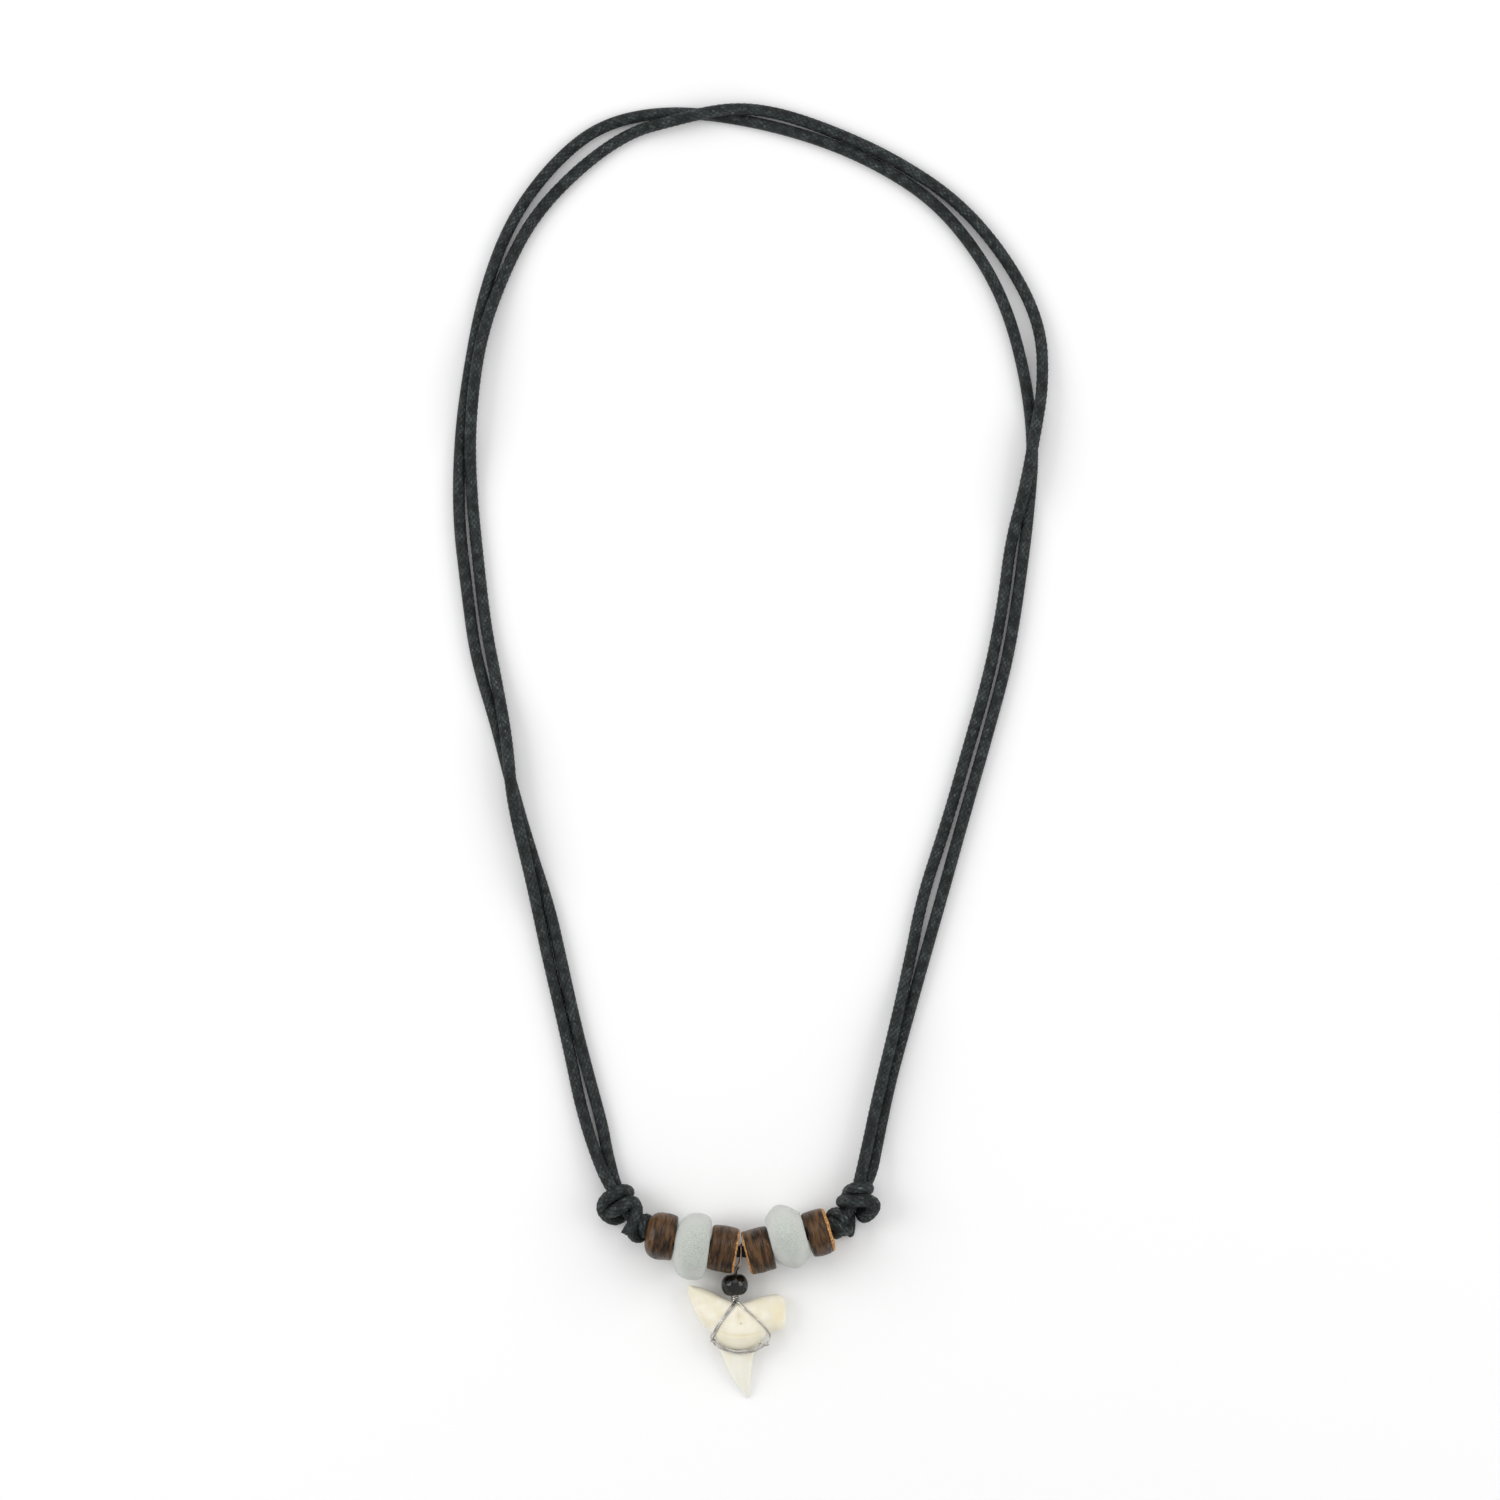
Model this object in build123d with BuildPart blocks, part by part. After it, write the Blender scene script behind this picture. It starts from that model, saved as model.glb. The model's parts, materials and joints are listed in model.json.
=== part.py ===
# Shark tooth necklace on an adjustable waxed cord, lying flat, in millimetres.
# The origin is the middle of the neck opening on the resting surface, +Z up, +Y away from the pendant.
from build123d import *
from math import cos, radians, sin, sqrt, tan
import os

# Waxed cord, doubled round the neck
cord_dia = 1.9
cord_gap = 0.06
bend_share = 0.45

# Sliding and stopper knots
wrap_dia = 1.8
wrap_space = 0.03
wrap_lean = 6.0
knot_bore_gap = 0.12
tail_dia = 1.8
tail_length = 2.6
tied_reach = 3.4
stopper_dia = 5.6
stopper_seat = 0.4
stopper_wrap_dia = 2.1
stopper_length = 3.8
stopper_height = 3.2

# Coconut shell beads
coco_dia = 7.9
coco_end_dia = 7.2
coco_bore = 3.4
coco_rim = 0.25
left_outer_length = 4.9
left_outer_chamfer = 0.9
left_inner_length = 4.6
right_inner_length = 4.4
right_outer_length = 3.9

# Frosted glass beads
left_glass_dia = 11.1
left_glass_length = 5.5
left_glass_round = 2.3
right_glass_dia = 10.8
right_glass_length = 6.0
right_glass_bevel = 1.9
right_glass_round = 0.8
glass_bore = 3.9

# Pendant: black bead, wire and tooth
black_bead_dia = 4.5
black_bead_length = 3.5
black_bead_bore = 1.3
black_bead_round = 1.3
wire_dia = 0.32
wire_gap = 0.1
wire_lift = 0.38
twist_dia = 1.7
twist_length = 0.75
surface_gap = 0.02
leg_space = 0.5
leg_room = 0.43
bail_clearance = 0.2
bail_fall = 3.42
bail_shift = -1.28
hang_bearing = 95.4
twist_seat = 0.4
tooth_width = 16.5
tooth_height = 19.0
tooth_thickness = 5.0

# Places on the resting surface
bead_gap = 0.26
bail_room = 0.74
bead_lift = 0.55
bail_point = Vector(-1.5, -98.9, coco_dia / 2 + bead_lift)

# Route of the strand that lies on top where the two cross, from the left stopper knot round the neck
upper_points = [
    (-23.5, -88.3, 3.4),
    (-26.1, -82.2, 1.9),
    (-28.5, -74.4, 0.95),
    (-30.2, -66.0, 0.95),
    (-32.2, -57.2, 0.95),
    (-34.1, -49.2, 0.95),
    (-35.6, -42.0, 1.2),
    (-37.1, -34.9, 2.95),
    (-40.0, -23.0, 2.95),
    (-40.8, -13.0, 2.95),
    (-42.6, -3.2, 1.5),
    (-44.5, 6.4, 0.95),
    (-45.8, 17.8, 0.95),
    (-46.9, 29.0, 0.95),
    (-47.1, 40.2, 2.95),
    (-45.5, 54.0, 2.95),
    (-41.5, 65.4, 1.1),
    (-36.5, 75.1, 0.95),
    (-28.5, 83.5, 0.95),
    (-20.2, 89.3, 0.95),
    (-13.2, 91.1, 2.95),
    (-4.2, 93.3, 2.95),
    (3.6, 92.9, 0.95),
    (13.2, 89.8, 0.95),
    (24.4, 84.7, 0.95),
    (35.1, 77.6, 0.95),
    (43.4, 67.8, 0.95),
    (48.9, 57.0, 0.95),
    (49.3, 46.6, 2.0),
    (47.9, 38.6, 3.0),
    (46.2, 29.2, 2.95),
    (43.8, 20.2, 0.95),
    (42.6, 10.0, 0.95),
    (40.2, -2.2, 0.95),
    (36.6, -14.6, 0.95),
    (33.0, -27.2, 0.95),
    (29.0, -39.2, 0.95),
    (26.9, -49.8, 0.95),
    (24.4, -61.0, 2.7),
    (21.3, -73.6, 2.85),
    (19.7, -81.2, 3.1),
    (18.7, -85.6, 3.7),
]

# Route of the strand that lies flat under it, from the right stopper knot round the neck
lower_points = [
    (20.0, -88.0, 3.1),
    (21.6, -79.8, 1.2),
    (23.4, -71.0, 0.95),
    (26.0, -61.6, 0.95),
    (29.2, -50.0, 0.95),
    (32.6, -38.0, 0.95),
    (36.2, -25.0, 0.95),
    (39.9, -12.2, 0.95),
    (43.4, 0.8, 0.95),
    (45.5, 14.2, 0.95),
    (46.9, 25.6, 0.95),
    (47.7, 36.6, 0.95),
    (46.4, 47.8, 0.95),
    (43.3, 59.6, 0.95),
    (38.4, 69.0, 0.95),
    (30.8, 78.0, 0.95),
    (20.2, 84.6, 0.95),
    (9.4, 88.9, 0.95),
    (-2.4, 91.7, 0.95),
    (-14.2, 92.9, 0.95),
    (-25.2, 90.6, 0.95),
    (-33.4, 83.8, 0.95),
    (-40.4, 74.2, 0.95),
    (-44.8, 62.2, 0.95),
    (-47.2, 49.8, 0.95),
    (-48.8, 37.8, 0.95),
    (-49.1, 24.6, 0.95),
    (-47.6, 12.2, 0.95),
    (-46.1, 0.8, 0.95),
    (-42.7, -10.2, 0.95),
    (-40.2, -20.2, 0.95),
    (-37.2, -30.6, 0.95),
    (-33.7, -41.2, 0.95),
    (-31.8, -49.8, 0.95),
    (-29.5, -60.2, 0.95),
    (-27.0, -69.8, 0.95),
    (-24.8, -77.8, 0.95),
    (-24.05, -82.4, 0.97),
    (-23.05, -86.2, 1.3),
]

# The string of beads, one row for each bead, from the bail outward on each side of it.
# Columns: name, bearing of the step to it, bearing of its own axis, rise of that axis, length,
# height of its centre over its own radius, and where the cord passes its centre, across and up
bead_rows = {
    "left": [
        ("left_inner_coco_bead", 170.5, 170.5, 1.5, left_inner_length, bead_lift, 0.0, 0.15),
        ("left_glass_bead", 174.5, 173.0, 0.0, left_glass_length, 0.02, 0.1, -0.25),
        ("left_outer_coco_bead", 162.1, 170.0, -3.0, left_outer_length, 0.1, -0.15, 0.25),
    ],
    "right": [
        ("right_inner_coco_bead", 6.3, 14.5, 1.5, right_inner_length, bead_lift, 0.0, 0.15),
        ("right_glass_bead", 25.8, 15.0, 0.0, right_glass_length, 0.02, -0.15, -0.2),
        ("right_outer_coco_bead", 7.4, 17.0, -3.0, right_outer_length, 0.1, 0.0, 0.15),
    ],
}
bead_dia = {
    "left_inner_coco_bead": coco_dia,
    "left_glass_bead": left_glass_dia,
    "left_outer_coco_bead": coco_dia,
    "right_inner_coco_bead": coco_dia,
    "right_glass_bead": right_glass_dia,
    "right_outer_coco_bead": coco_dia,
}

# Knots, a row for each side: bearing from the outer bead's end to the stopper knot, bearing of that knot's
# axis, and bearing on to the sliding knot
knot_rows = {"left": (143.0, 162.0, 128.6), "right": (33.5, 20.0, 46.7)}
knot_reach = 3.4

# Tails of the sliding knots: shift across from the knot, bearing
tail_rows = {"left": (0.6, 262.0), "right": (0.8, 263.0)}

# Wraps of a sliding knot, a row each: place along the strand, shift across it, shift up
wrap_rows = [(-1.0, -0.3, 0.0), (0.0, 0.0, 0.1), (1.0, 0.25, 0.0)]

# Where the twist of wire stands over the notch of the root, as shares of the tooth's width and thickness
twist_across = -0.039
twist_up = 0.52

# Tooth sections as shares of its width across, its height along and its thickness up.
# The root runs across: place across, low edge, high edge, back face, front face
root_sections = [
    (-0.527, 0.303, 0.345, 0.24, 0.40),
    (-0.497, 0.205, 0.348, 0.12, 0.55),
    (-0.436, 0.090, 0.337, 0.05, 0.67),
    (-0.364, 0.005, 0.318, 0.02, 0.77),
    (-0.267, -0.084, 0.276, 0.06, 0.87),
    (-0.158, -0.184, 0.229, 0.10, 0.96),
    (-0.024, -0.224, 0.197, 0.11, 1.00),
    (0.109, -0.218, 0.218, 0.11, 0.98),
    (0.230, -0.153, 0.250, 0.08, 0.91),
    (0.315, -0.066, 0.268, 0.04, 0.83),
    (0.400, -0.050, 0.268, 0.03, 0.72),
    (0.448, 0.000, 0.237, 0.12, 0.60),
    (0.467, 0.063, 0.179, 0.24, 0.46),
]
# The blade runs down: place along, left edge, right edge, height of both edges, back face, front face
blade_sections = [
    (-0.105, -0.218, 0.182, 0.38, 0.18, 0.72),
    (-0.221, -0.203, 0.148, 0.34, 0.15, 0.67),
    (-0.326, -0.153, 0.129, 0.29, 0.13, 0.58),
    (-0.426, -0.102, 0.115, 0.24, 0.10, 0.47),
    (-0.532, -0.018, 0.107, 0.17, 0.07, 0.32),
    (-0.616, 0.044, 0.102, 0.10, 0.03, 0.17),
    (-0.648, 0.064, 0.086, 0.05, 0.02, 0.09),
]


def corner_radii(points):
    """Returns the arc radius at each inner point of a route, as large as its two runs allow."""
    radii = []
    for before, here, after in zip(points, points[1:], points[2:]):
        run_in = Vector(here) - Vector(before)
        run_out = Vector(after) - Vector(here)
        half_turn = radians(run_in.get_angle(run_out) / 2)
        radii.append(bend_share * min(run_in.length, run_out.length) / tan(half_turn))
    return radii


def rounded_route(points):
    """Returns the line of a route: straight runs joined by tangent arcs."""
    with BuildLine() as route:
        FilletPolyline(*points, radius=corner_radii(points))
    return route.line


def show_radii(name, points):
    """Prints the arc radii of a cord's route."""
    print(name, "arc radii:", *[f"{radius:.1f}" for radius in corner_radii(points)])


def compass(bearing, rise=0.0):
    """Returns the unit vector at a bearing from +X in the plan, lifted by a rise, in degrees."""
    flat = cos(radians(rise))
    return Vector(cos(radians(bearing)) * flat, sin(radians(bearing)) * flat, sin(radians(rise)))


def plane_along(origin, direction):
    """Returns an upright plane through a point whose local X runs along a direction."""
    return Plane(origin=origin, x_dir=direction, z_dir=Vector(direction.Y, -direction.X, 0))


def write(piece, name):
    """Labels a finished piece and writes its file."""
    piece.part.label = name
    export_step(piece.part, f"parts/{name}.step")


os.makedirs("parts", exist_ok=True)

# Places of the beads and knots, worked out from the bail outward
bead_centre = {}
bead_axis = {}
cord_at_bead = {}
stopper_centre = {}
knot_centre = {}
strand_start = {}
for side, rows in bead_rows.items():
    spot = Vector(bail_point.X, bail_point.Y, 0)
    reach = bail_room - bead_gap
    for name, step, bearing, rise, length, lift, across, up in rows:
        spot += compass(step) * (reach + bead_gap + length / 2)
        bead_centre[name] = spot + Vector(0, 0, bead_dia[name] / 2 + lift)
        bead_axis[name] = compass(bearing, rise)
        cord_at_bead[name] = bead_centre[name] + Vector(0, across, up)
        reach = length / 2
    outer_end = bead_centre[name] + bead_axis[name] * reach
    to_stopper, _, to_knot = knot_rows[side]
    stopper = outer_end + compass(to_stopper) * (stopper_wrap_dia / 2 + stopper_seat)
    stopper_centre[side] = Vector(stopper.X, stopper.Y, stopper_height)
    strand_start[side] = stopper_centre[side] + compass(to_knot) * (stopper_length / 2 + cord_gap)
    knot_centre[side] = strand_start[side] + compass(to_knot) * knot_reach

# Coconut shell beads: short crowned barrels with a cord hole and eased rims
for side, rows in bead_rows.items():
    for name, _, _, _, length, _, _, _ in rows:
        if "coco" not in name:
            continue
        half = length / 2
        section_plane = plane_along(bead_centre[name], bead_axis[name])
        turning_axis = Axis(bead_centre[name], bead_axis[name])
        with BuildPart() as coco_bead:
            with BuildSketch(section_plane):
                with BuildLine():
                    Line((-half, coco_bore / 2), (-half, coco_end_dia / 2))
                    ThreePointArc((-half, coco_end_dia / 2), (0, coco_dia / 2), (half, coco_end_dia / 2))
                    Polyline((half, coco_end_dia / 2), (half, coco_bore / 2), (-half, coco_bore / 2))
                make_face()
            revolve(axis=turning_axis)
            rings = coco_bead.edges().filter_by(GeomType.CIRCLE).group_by(turning_axis)
            outward_rim = rings[-1].sort_by(SortBy.RADIUS)[-1]
            inward_rim = rings[0].sort_by(SortBy.RADIUS)[-1]
            chamfer(outward_rim, left_outer_chamfer if name == "left_outer_coco_bead" else coco_rim)
            rings = coco_bead.edges().filter_by(GeomType.CIRCLE).group_by(turning_axis)
            chamfer(rings[0].sort_by(SortBy.RADIUS)[-1], coco_rim)
        write(coco_bead, name)

# Left glass bead: a rondelle with fully rounded shoulders
section_plane = plane_along(bead_centre["left_glass_bead"], bead_axis["left_glass_bead"])
with BuildPart() as left_glass_bead:
    with BuildSketch(section_plane) as section:
        with Locations((0, (left_glass_dia + glass_bore) / 4)):
            Rectangle(left_glass_length, (left_glass_dia - glass_bore) / 2)
        fillet(section.vertices().group_by(Axis.Y)[-1], radius=left_glass_round)
    revolve(axis=Axis(bead_centre["left_glass_bead"], bead_axis["left_glass_bead"]))
write(left_glass_bead, "left_glass_bead")

# Right glass bead: a rondelle with bevelled, softly rounded shoulders
section_plane = plane_along(bead_centre["right_glass_bead"], bead_axis["right_glass_bead"])
with BuildPart() as right_glass_bead:
    with BuildSketch(section_plane):
        with BuildLine():
            FilletPolyline(
                (-right_glass_length / 2, glass_bore / 2),
                (-right_glass_length / 2, right_glass_dia / 2 - right_glass_bevel),
                (right_glass_bevel - right_glass_length / 2, right_glass_dia / 2),
                (right_glass_length / 2 - right_glass_bevel, right_glass_dia / 2),
                (right_glass_length / 2, right_glass_dia / 2 - right_glass_bevel),
                (right_glass_length / 2, glass_bore / 2),
                radius=right_glass_round,
            )
            Line((right_glass_length / 2, glass_bore / 2), (-right_glass_length / 2, glass_bore / 2))
        make_face()
    revolve(axis=Axis(bead_centre["right_glass_bead"], bead_axis["right_glass_bead"]))
write(right_glass_bead, "right_glass_bead")

# Cord through the beads, between the two stopper knots
bead_cord_start = {}
for side, rows in bead_rows.items():
    inward = (cord_at_bead[rows[-1][0]] - stopper_centre[side]).normalized()
    bead_cord_start[side] = stopper_centre[side] + inward * (stopper_length / 2 + cord_gap)
bead_cord_points = [bead_cord_start["left"]]
bead_cord_points += [cord_at_bead[row[0]] for row in reversed(bead_rows["left"])]
bead_cord_points += [bail_point]
bead_cord_points += [cord_at_bead[row[0]] for row in bead_rows["right"]]
bead_cord_points += [bead_cord_start["right"]]
bead_cord_line = rounded_route(bead_cord_points)
show_radii("bead_cord", bead_cord_points)
with BuildPart() as bead_cord:
    with BuildSketch(Plane(origin=bead_cord_line @ 0, z_dir=bead_cord_line % 0)):
        Circle(cord_dia / 2)
    sweep(path=bead_cord_line)
write(bead_cord, "bead_cord")

# The two strands round the neck
upper_line = rounded_route([strand_start["left"]] + upper_points)
show_radii("upper_strand", [strand_start["left"]] + upper_points)
with BuildPart() as upper_strand:
    with BuildSketch(Plane(origin=upper_line @ 0, z_dir=upper_line % 0)):
        Circle(cord_dia / 2)
    sweep(path=upper_line)
write(upper_strand, "upper_strand")

lower_line = rounded_route([strand_start["right"]] + lower_points)
show_radii("lower_strand", [strand_start["right"]] + lower_points)
with BuildPart() as lower_strand:
    with BuildSketch(Plane(origin=lower_line @ 0, z_dir=lower_line % 0)):
        Circle(cord_dia / 2)
    sweep(path=lower_line)
write(lower_strand, "lower_strand")

# Stopper knots: an overhand knot pulled tight in the cord at each end of the beads
for side in ("left", "right"):
    _, bearing, to_knot = knot_rows[side]
    centre = stopper_centre[side]
    wrap_ring = (stopper_dia - stopper_wrap_dia) / 2
    inward = bead_cord_start[side] - centre
    with BuildPart() as stopper_knot:
        with BuildSketch(plane_along(centre, compass(bearing))):
            with Locations((0, wrap_ring)):
                Circle(stopper_wrap_dia / 2)
            with Locations((0, wrap_ring / 2)):
                Rectangle(stopper_wrap_dia, wrap_ring)
        revolve(axis=Axis(centre, compass(bearing)))
        for way in (compass(to_knot), inward):
            with Locations(Plane(origin=centre, z_dir=way)):
                Cylinder(cord_dia / 2, stopper_length / 2, align=(Align.CENTER, Align.CENTER, Align.MIN))
    write(stopper_knot, f"{side}_stopper_knot")

# Sliding knots: the end of one strand wrapped round the other, with its cut tail on the surface
for side, passing_points, tied_points in (
    ("left", upper_points, lower_points),
    ("right", lower_points, upper_points),
):
    passing_line = rounded_route([strand_start[side]] + passing_points[0:2])
    along = compass(knot_rows[side][2])
    across = Vector(along.Y, -along.X, 0) * (1 if side == "left" else -1)
    centre = knot_centre[side]
    wrap_ring = cord_dia / 2 + knot_bore_gap + wrap_dia / 2
    wrap_pitch = wrap_dia + wrap_space
    tied_way = (Vector(tied_points[-1]) - Vector(tied_points[-2])).normalized()
    tied_start = Vector(tied_points[-1]) + tied_way * cord_gap
    tail_start = centre - along * wrap_pitch + Vector(0, 0, tail_dia / 2 - centre.Z) + across * tail_rows[side][0]
    tail_way = compass(tail_rows[side][1])
    with BuildPart() as knot_bore:
        with BuildSketch(Plane(origin=passing_line @ 0, z_dir=passing_line % 0)):
            Circle(cord_dia / 2 + knot_bore_gap)
        sweep(path=passing_line)
    with BuildPart() as slide_knot:
        for place, shift, lift in wrap_rows:
            wrap_centre = centre + along * place * wrap_pitch + across * shift + Vector(0, 0, lift)
            with Locations(Plane(origin=wrap_centre, z_dir=along.rotate(Axis.Z, wrap_lean))):
                Torus(wrap_ring, wrap_dia / 2)
        with Locations(Plane(origin=centre, z_dir=along)):
            Cylinder(wrap_ring, 2 * wrap_pitch)
        with Locations(Plane(origin=tied_start, z_dir=tied_way)):
            Cylinder(cord_dia / 2, tied_reach, align=(Align.CENTER, Align.CENTER, Align.MIN))
        with Locations(Plane(origin=tail_start, z_dir=tail_way)):
            Cylinder(tail_dia / 2, tail_length, align=(Align.CENTER, Align.CENTER, Align.MIN))
        add(knot_bore.part, mode=Mode.SUBTRACT)
    write(slide_knot, f"{side}_slide_knot")

# Places of the pendant, from the bail down: the legs' upper end, their lower end in the twist, the tooth
root_notch = min(root_sections, key=lambda section: section[1])[2]
hang_way = compass(hang_bearing)
leg_length = twist_length + black_bead_length + wire_gap + leg_room
hang_end = Vector(bail_point.X + bail_shift, bail_point.Y - bail_fall, twist_up * tooth_thickness)
hang_start = hang_end - hang_way * leg_length
black_bead_centre = hang_start + hang_way * (twist_length + black_bead_length / 2 + wire_gap)
tooth_point = hang_start - Vector(
    twist_across * tooth_width,
    root_notch * tooth_height + twist_seat,
    twist_up * tooth_thickness,
)

# Black bead: a small glass bead with rounded shoulders, threaded on the two legs of the bail
with BuildPart() as black_bead:
    with BuildSketch(plane_along(black_bead_centre, hang_way)) as section:
        with Locations((0, (black_bead_dia + black_bead_bore) / 4)):
            Rectangle(black_bead_length, (black_bead_dia - black_bead_bore) / 2)
        fillet(section.vertices().group_by(Axis.Y)[-1], radius=black_bead_round)
    revolve(axis=Axis(black_bead_centre, hang_way))
write(black_bead, "black_bead")

# Shark tooth: a curved blade of plano-convex sections under a two-lobed root of oval sections
with BuildPart() as shark_tooth:
    for across, low, high, back, front in root_sections:
        middle = Vector(across * tooth_width, (low + high) / 2 * tooth_height, (back + front) / 2 * tooth_thickness)
        with BuildSketch(Plane(origin=tooth_point + middle, x_dir=(0, 1, 0), z_dir=(1, 0, 0))):
            Ellipse((high - low) / 2 * tooth_height, (front - back) / 2 * tooth_thickness)
    loft()
    for along, left, right, edge, back, front in blade_sections:
        middle = Vector((left + right) / 2 * tooth_width, along * tooth_height, edge * tooth_thickness)
        half_width = (right - left) / 2 * tooth_width
        with BuildSketch(Plane(origin=tooth_point + middle, x_dir=(1, 0, 0), z_dir=(0, -1, 0))):
            with BuildLine():
                ThreePointArc((-half_width, 0), (0, (front - edge) * tooth_thickness), (half_width, 0))
                ThreePointArc((half_width, 0), (0, (back - edge) * tooth_thickness), (-half_width, 0))
            make_face()
    loft()
write(shark_tooth, "shark_tooth")


def beside_tooth(across, along, up):
    """Returns the point at shares of the tooth's width, height and thickness from its middle."""
    return tooth_point + Vector(across * tooth_width, along * tooth_height, up * tooth_thickness)


def under_tooth(across, along):
    """Returns the point of the wire's centre close over the surface, at shares of the tooth's sizes."""
    return beside_tooth(across, along, 0) + Vector(0, 0, wire_dia / 2 + surface_gap)


def over_root(across, along):
    """Returns the point of the wire's centre on the front of the root, from shares and the root's sections."""
    for before, after in zip(root_sections, root_sections[1:]):
        if before[0] <= across <= after[0]:
            mix = (across - before[0]) / (after[0] - before[0])
            low, high, back, front = (a + (b - a) * mix for a, b in zip(before[1:], after[1:]))
    offset = (2 * along - low - high) / (high - low)
    rise = (front - back) / 2 * sqrt(max(0.0, 1 - offset**2))
    return beside_tooth(across, along, (front + back) / 2 + rise) + Vector(0, 0, wire_dia / 2 + wire_lift)


# Wire: the bail over the bead cord, its two legs through the black bead, the twist under the bead, one
# round over the root and under its bulge, and a second end that goes behind the blade's neck and comes
# back across the front just above the first
leg_side = Vector(leg_space / 2, 0, 0)
bail_reach = cord_dia / 2 + wire_dia / 2 + bail_clearance
bail_points = [
    hang_start + hang_way * wire_dia - leg_side,
    hang_end - leg_side,
    bail_point + Vector(-0.25, -2.0, -0.9),
    bail_point + Vector(0.0, 0.0, -bail_reach - 0.15),
    bail_point + Vector(0.0, bail_reach + 0.25, -0.3),
    bail_point + Vector(0.0, bail_reach - 0.1, bail_reach),
    bail_point + Vector(0.0, -0.9, bail_reach + 0.1),
    bail_point + Vector(-0.35, -2.6, 0.1),
    hang_end + leg_side,
    hang_start + hang_way * wire_dia + leg_side,
]
front_points = [
    hang_start + hang_way * wire_dia / 2 - leg_side / 2,
    over_root(-0.045, 0.192),
    over_root(-0.091, 0.147),
    over_root(-0.182, 0.063),
    over_root(-0.245, -0.032),
    beside_tooth(-0.288, -0.121, 0.540),
    beside_tooth(-0.236, -0.189, 0.620),
    beside_tooth(-0.121, -0.229, 0.720),
    beside_tooth(0.012, -0.245, 0.770),
    beside_tooth(0.139, -0.232, 0.730),
    beside_tooth(0.245, -0.182, 0.640),
    beside_tooth(0.288, -0.121, 0.580),
    over_root(0.248, -0.026),
    over_root(0.182, 0.053),
    over_root(0.091, 0.126),
    over_root(0.021, 0.182),
    hang_start + hang_way * wire_dia / 2 + leg_side / 2,
]
back_points = [
    hang_start - leg_side,
    beside_tooth(-0.064, 0.221, 0.700),
    over_root(-0.118, 0.168),
    over_root(-0.209, 0.079),
    over_root(-0.279, -0.021),
    beside_tooth(-0.321, -0.105, 0.380),
    under_tooth(-0.279, -0.142),
    under_tooth(-0.097, -0.174),
    under_tooth(0.109, -0.168),
    under_tooth(0.268, -0.184),
    beside_tooth(0.312, -0.179, 0.440),
    beside_tooth(0.275, -0.171, 0.760),
    beside_tooth(0.225, -0.200, 0.770),
    beside_tooth(0.127, -0.229, 0.815),
    beside_tooth(0.006, -0.241, 0.855),
    beside_tooth(-0.115, -0.227, 0.805),
    beside_tooth(-0.224, -0.190, 0.735),
    beside_tooth(-0.285, -0.142, 0.680),
    beside_tooth(-0.308, -0.126, 0.450),
]
with BuildPart() as pendant_wire:
    for points in (bail_points, front_points, back_points):
        wire_line = rounded_route(points)
        with BuildSketch(Plane(origin=wire_line @ 0, z_dir=wire_line % 0)):
            Circle(wire_dia / 2)
        sweep(path=wire_line)
    with Locations(Plane(origin=hang_start - hang_way * wire_gap, z_dir=hang_way)):
        Cylinder(twist_dia / 2 - wire_dia / 2, twist_length, align=(Align.CENTER, Align.CENTER, Align.MIN))
    for turn in range(2):
        with Locations(Plane(origin=hang_start + hang_way * twist_length * (0.3 + 0.4 * turn), z_dir=hang_way)):
            Torus(twist_dia / 2 - wire_dia / 2, wire_dia / 2)
write(pendant_wire, "pendant_wire")
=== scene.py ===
import json

import bmesh
import bpy
import numpy as np
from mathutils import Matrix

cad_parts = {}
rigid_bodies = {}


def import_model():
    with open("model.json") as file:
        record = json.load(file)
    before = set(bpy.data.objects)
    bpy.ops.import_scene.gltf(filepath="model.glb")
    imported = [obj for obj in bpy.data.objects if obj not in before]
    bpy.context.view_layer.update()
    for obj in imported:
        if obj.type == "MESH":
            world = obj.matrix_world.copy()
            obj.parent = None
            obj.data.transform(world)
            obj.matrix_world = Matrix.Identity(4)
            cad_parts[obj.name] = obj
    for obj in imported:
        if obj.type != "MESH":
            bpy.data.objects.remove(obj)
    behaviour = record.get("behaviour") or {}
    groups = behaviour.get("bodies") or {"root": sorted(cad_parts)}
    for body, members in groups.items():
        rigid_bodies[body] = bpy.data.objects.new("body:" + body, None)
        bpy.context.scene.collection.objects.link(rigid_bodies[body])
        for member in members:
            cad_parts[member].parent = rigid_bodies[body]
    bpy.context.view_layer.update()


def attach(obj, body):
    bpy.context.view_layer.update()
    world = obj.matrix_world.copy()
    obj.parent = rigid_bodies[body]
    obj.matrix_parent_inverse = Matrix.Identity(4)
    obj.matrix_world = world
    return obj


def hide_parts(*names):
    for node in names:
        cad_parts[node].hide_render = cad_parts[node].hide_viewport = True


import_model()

# The view. The necklace lies on a pale table and is seen from straight above, through a long lens 2.1 m
# up, so that nothing is foreshortened. The picture is 252 mm across, and its tones are the plain ones of
# a shop photograph on white.
lens = bpy.data.cameras.new("camera")
lens.lens = 300
lens.sensor_width = 36


def in_scene(name, data):
    """A new object in the scene."""
    made = bpy.data.objects.new(name, data)
    bpy.context.scene.collection.objects.link(made)
    return made


camera = in_scene("camera", lens)
camera.location = (0, -0.0146, 2.103)
bpy.context.scene.camera = camera
bpy.context.scene.view_settings.view_transform = "Standard"

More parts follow.
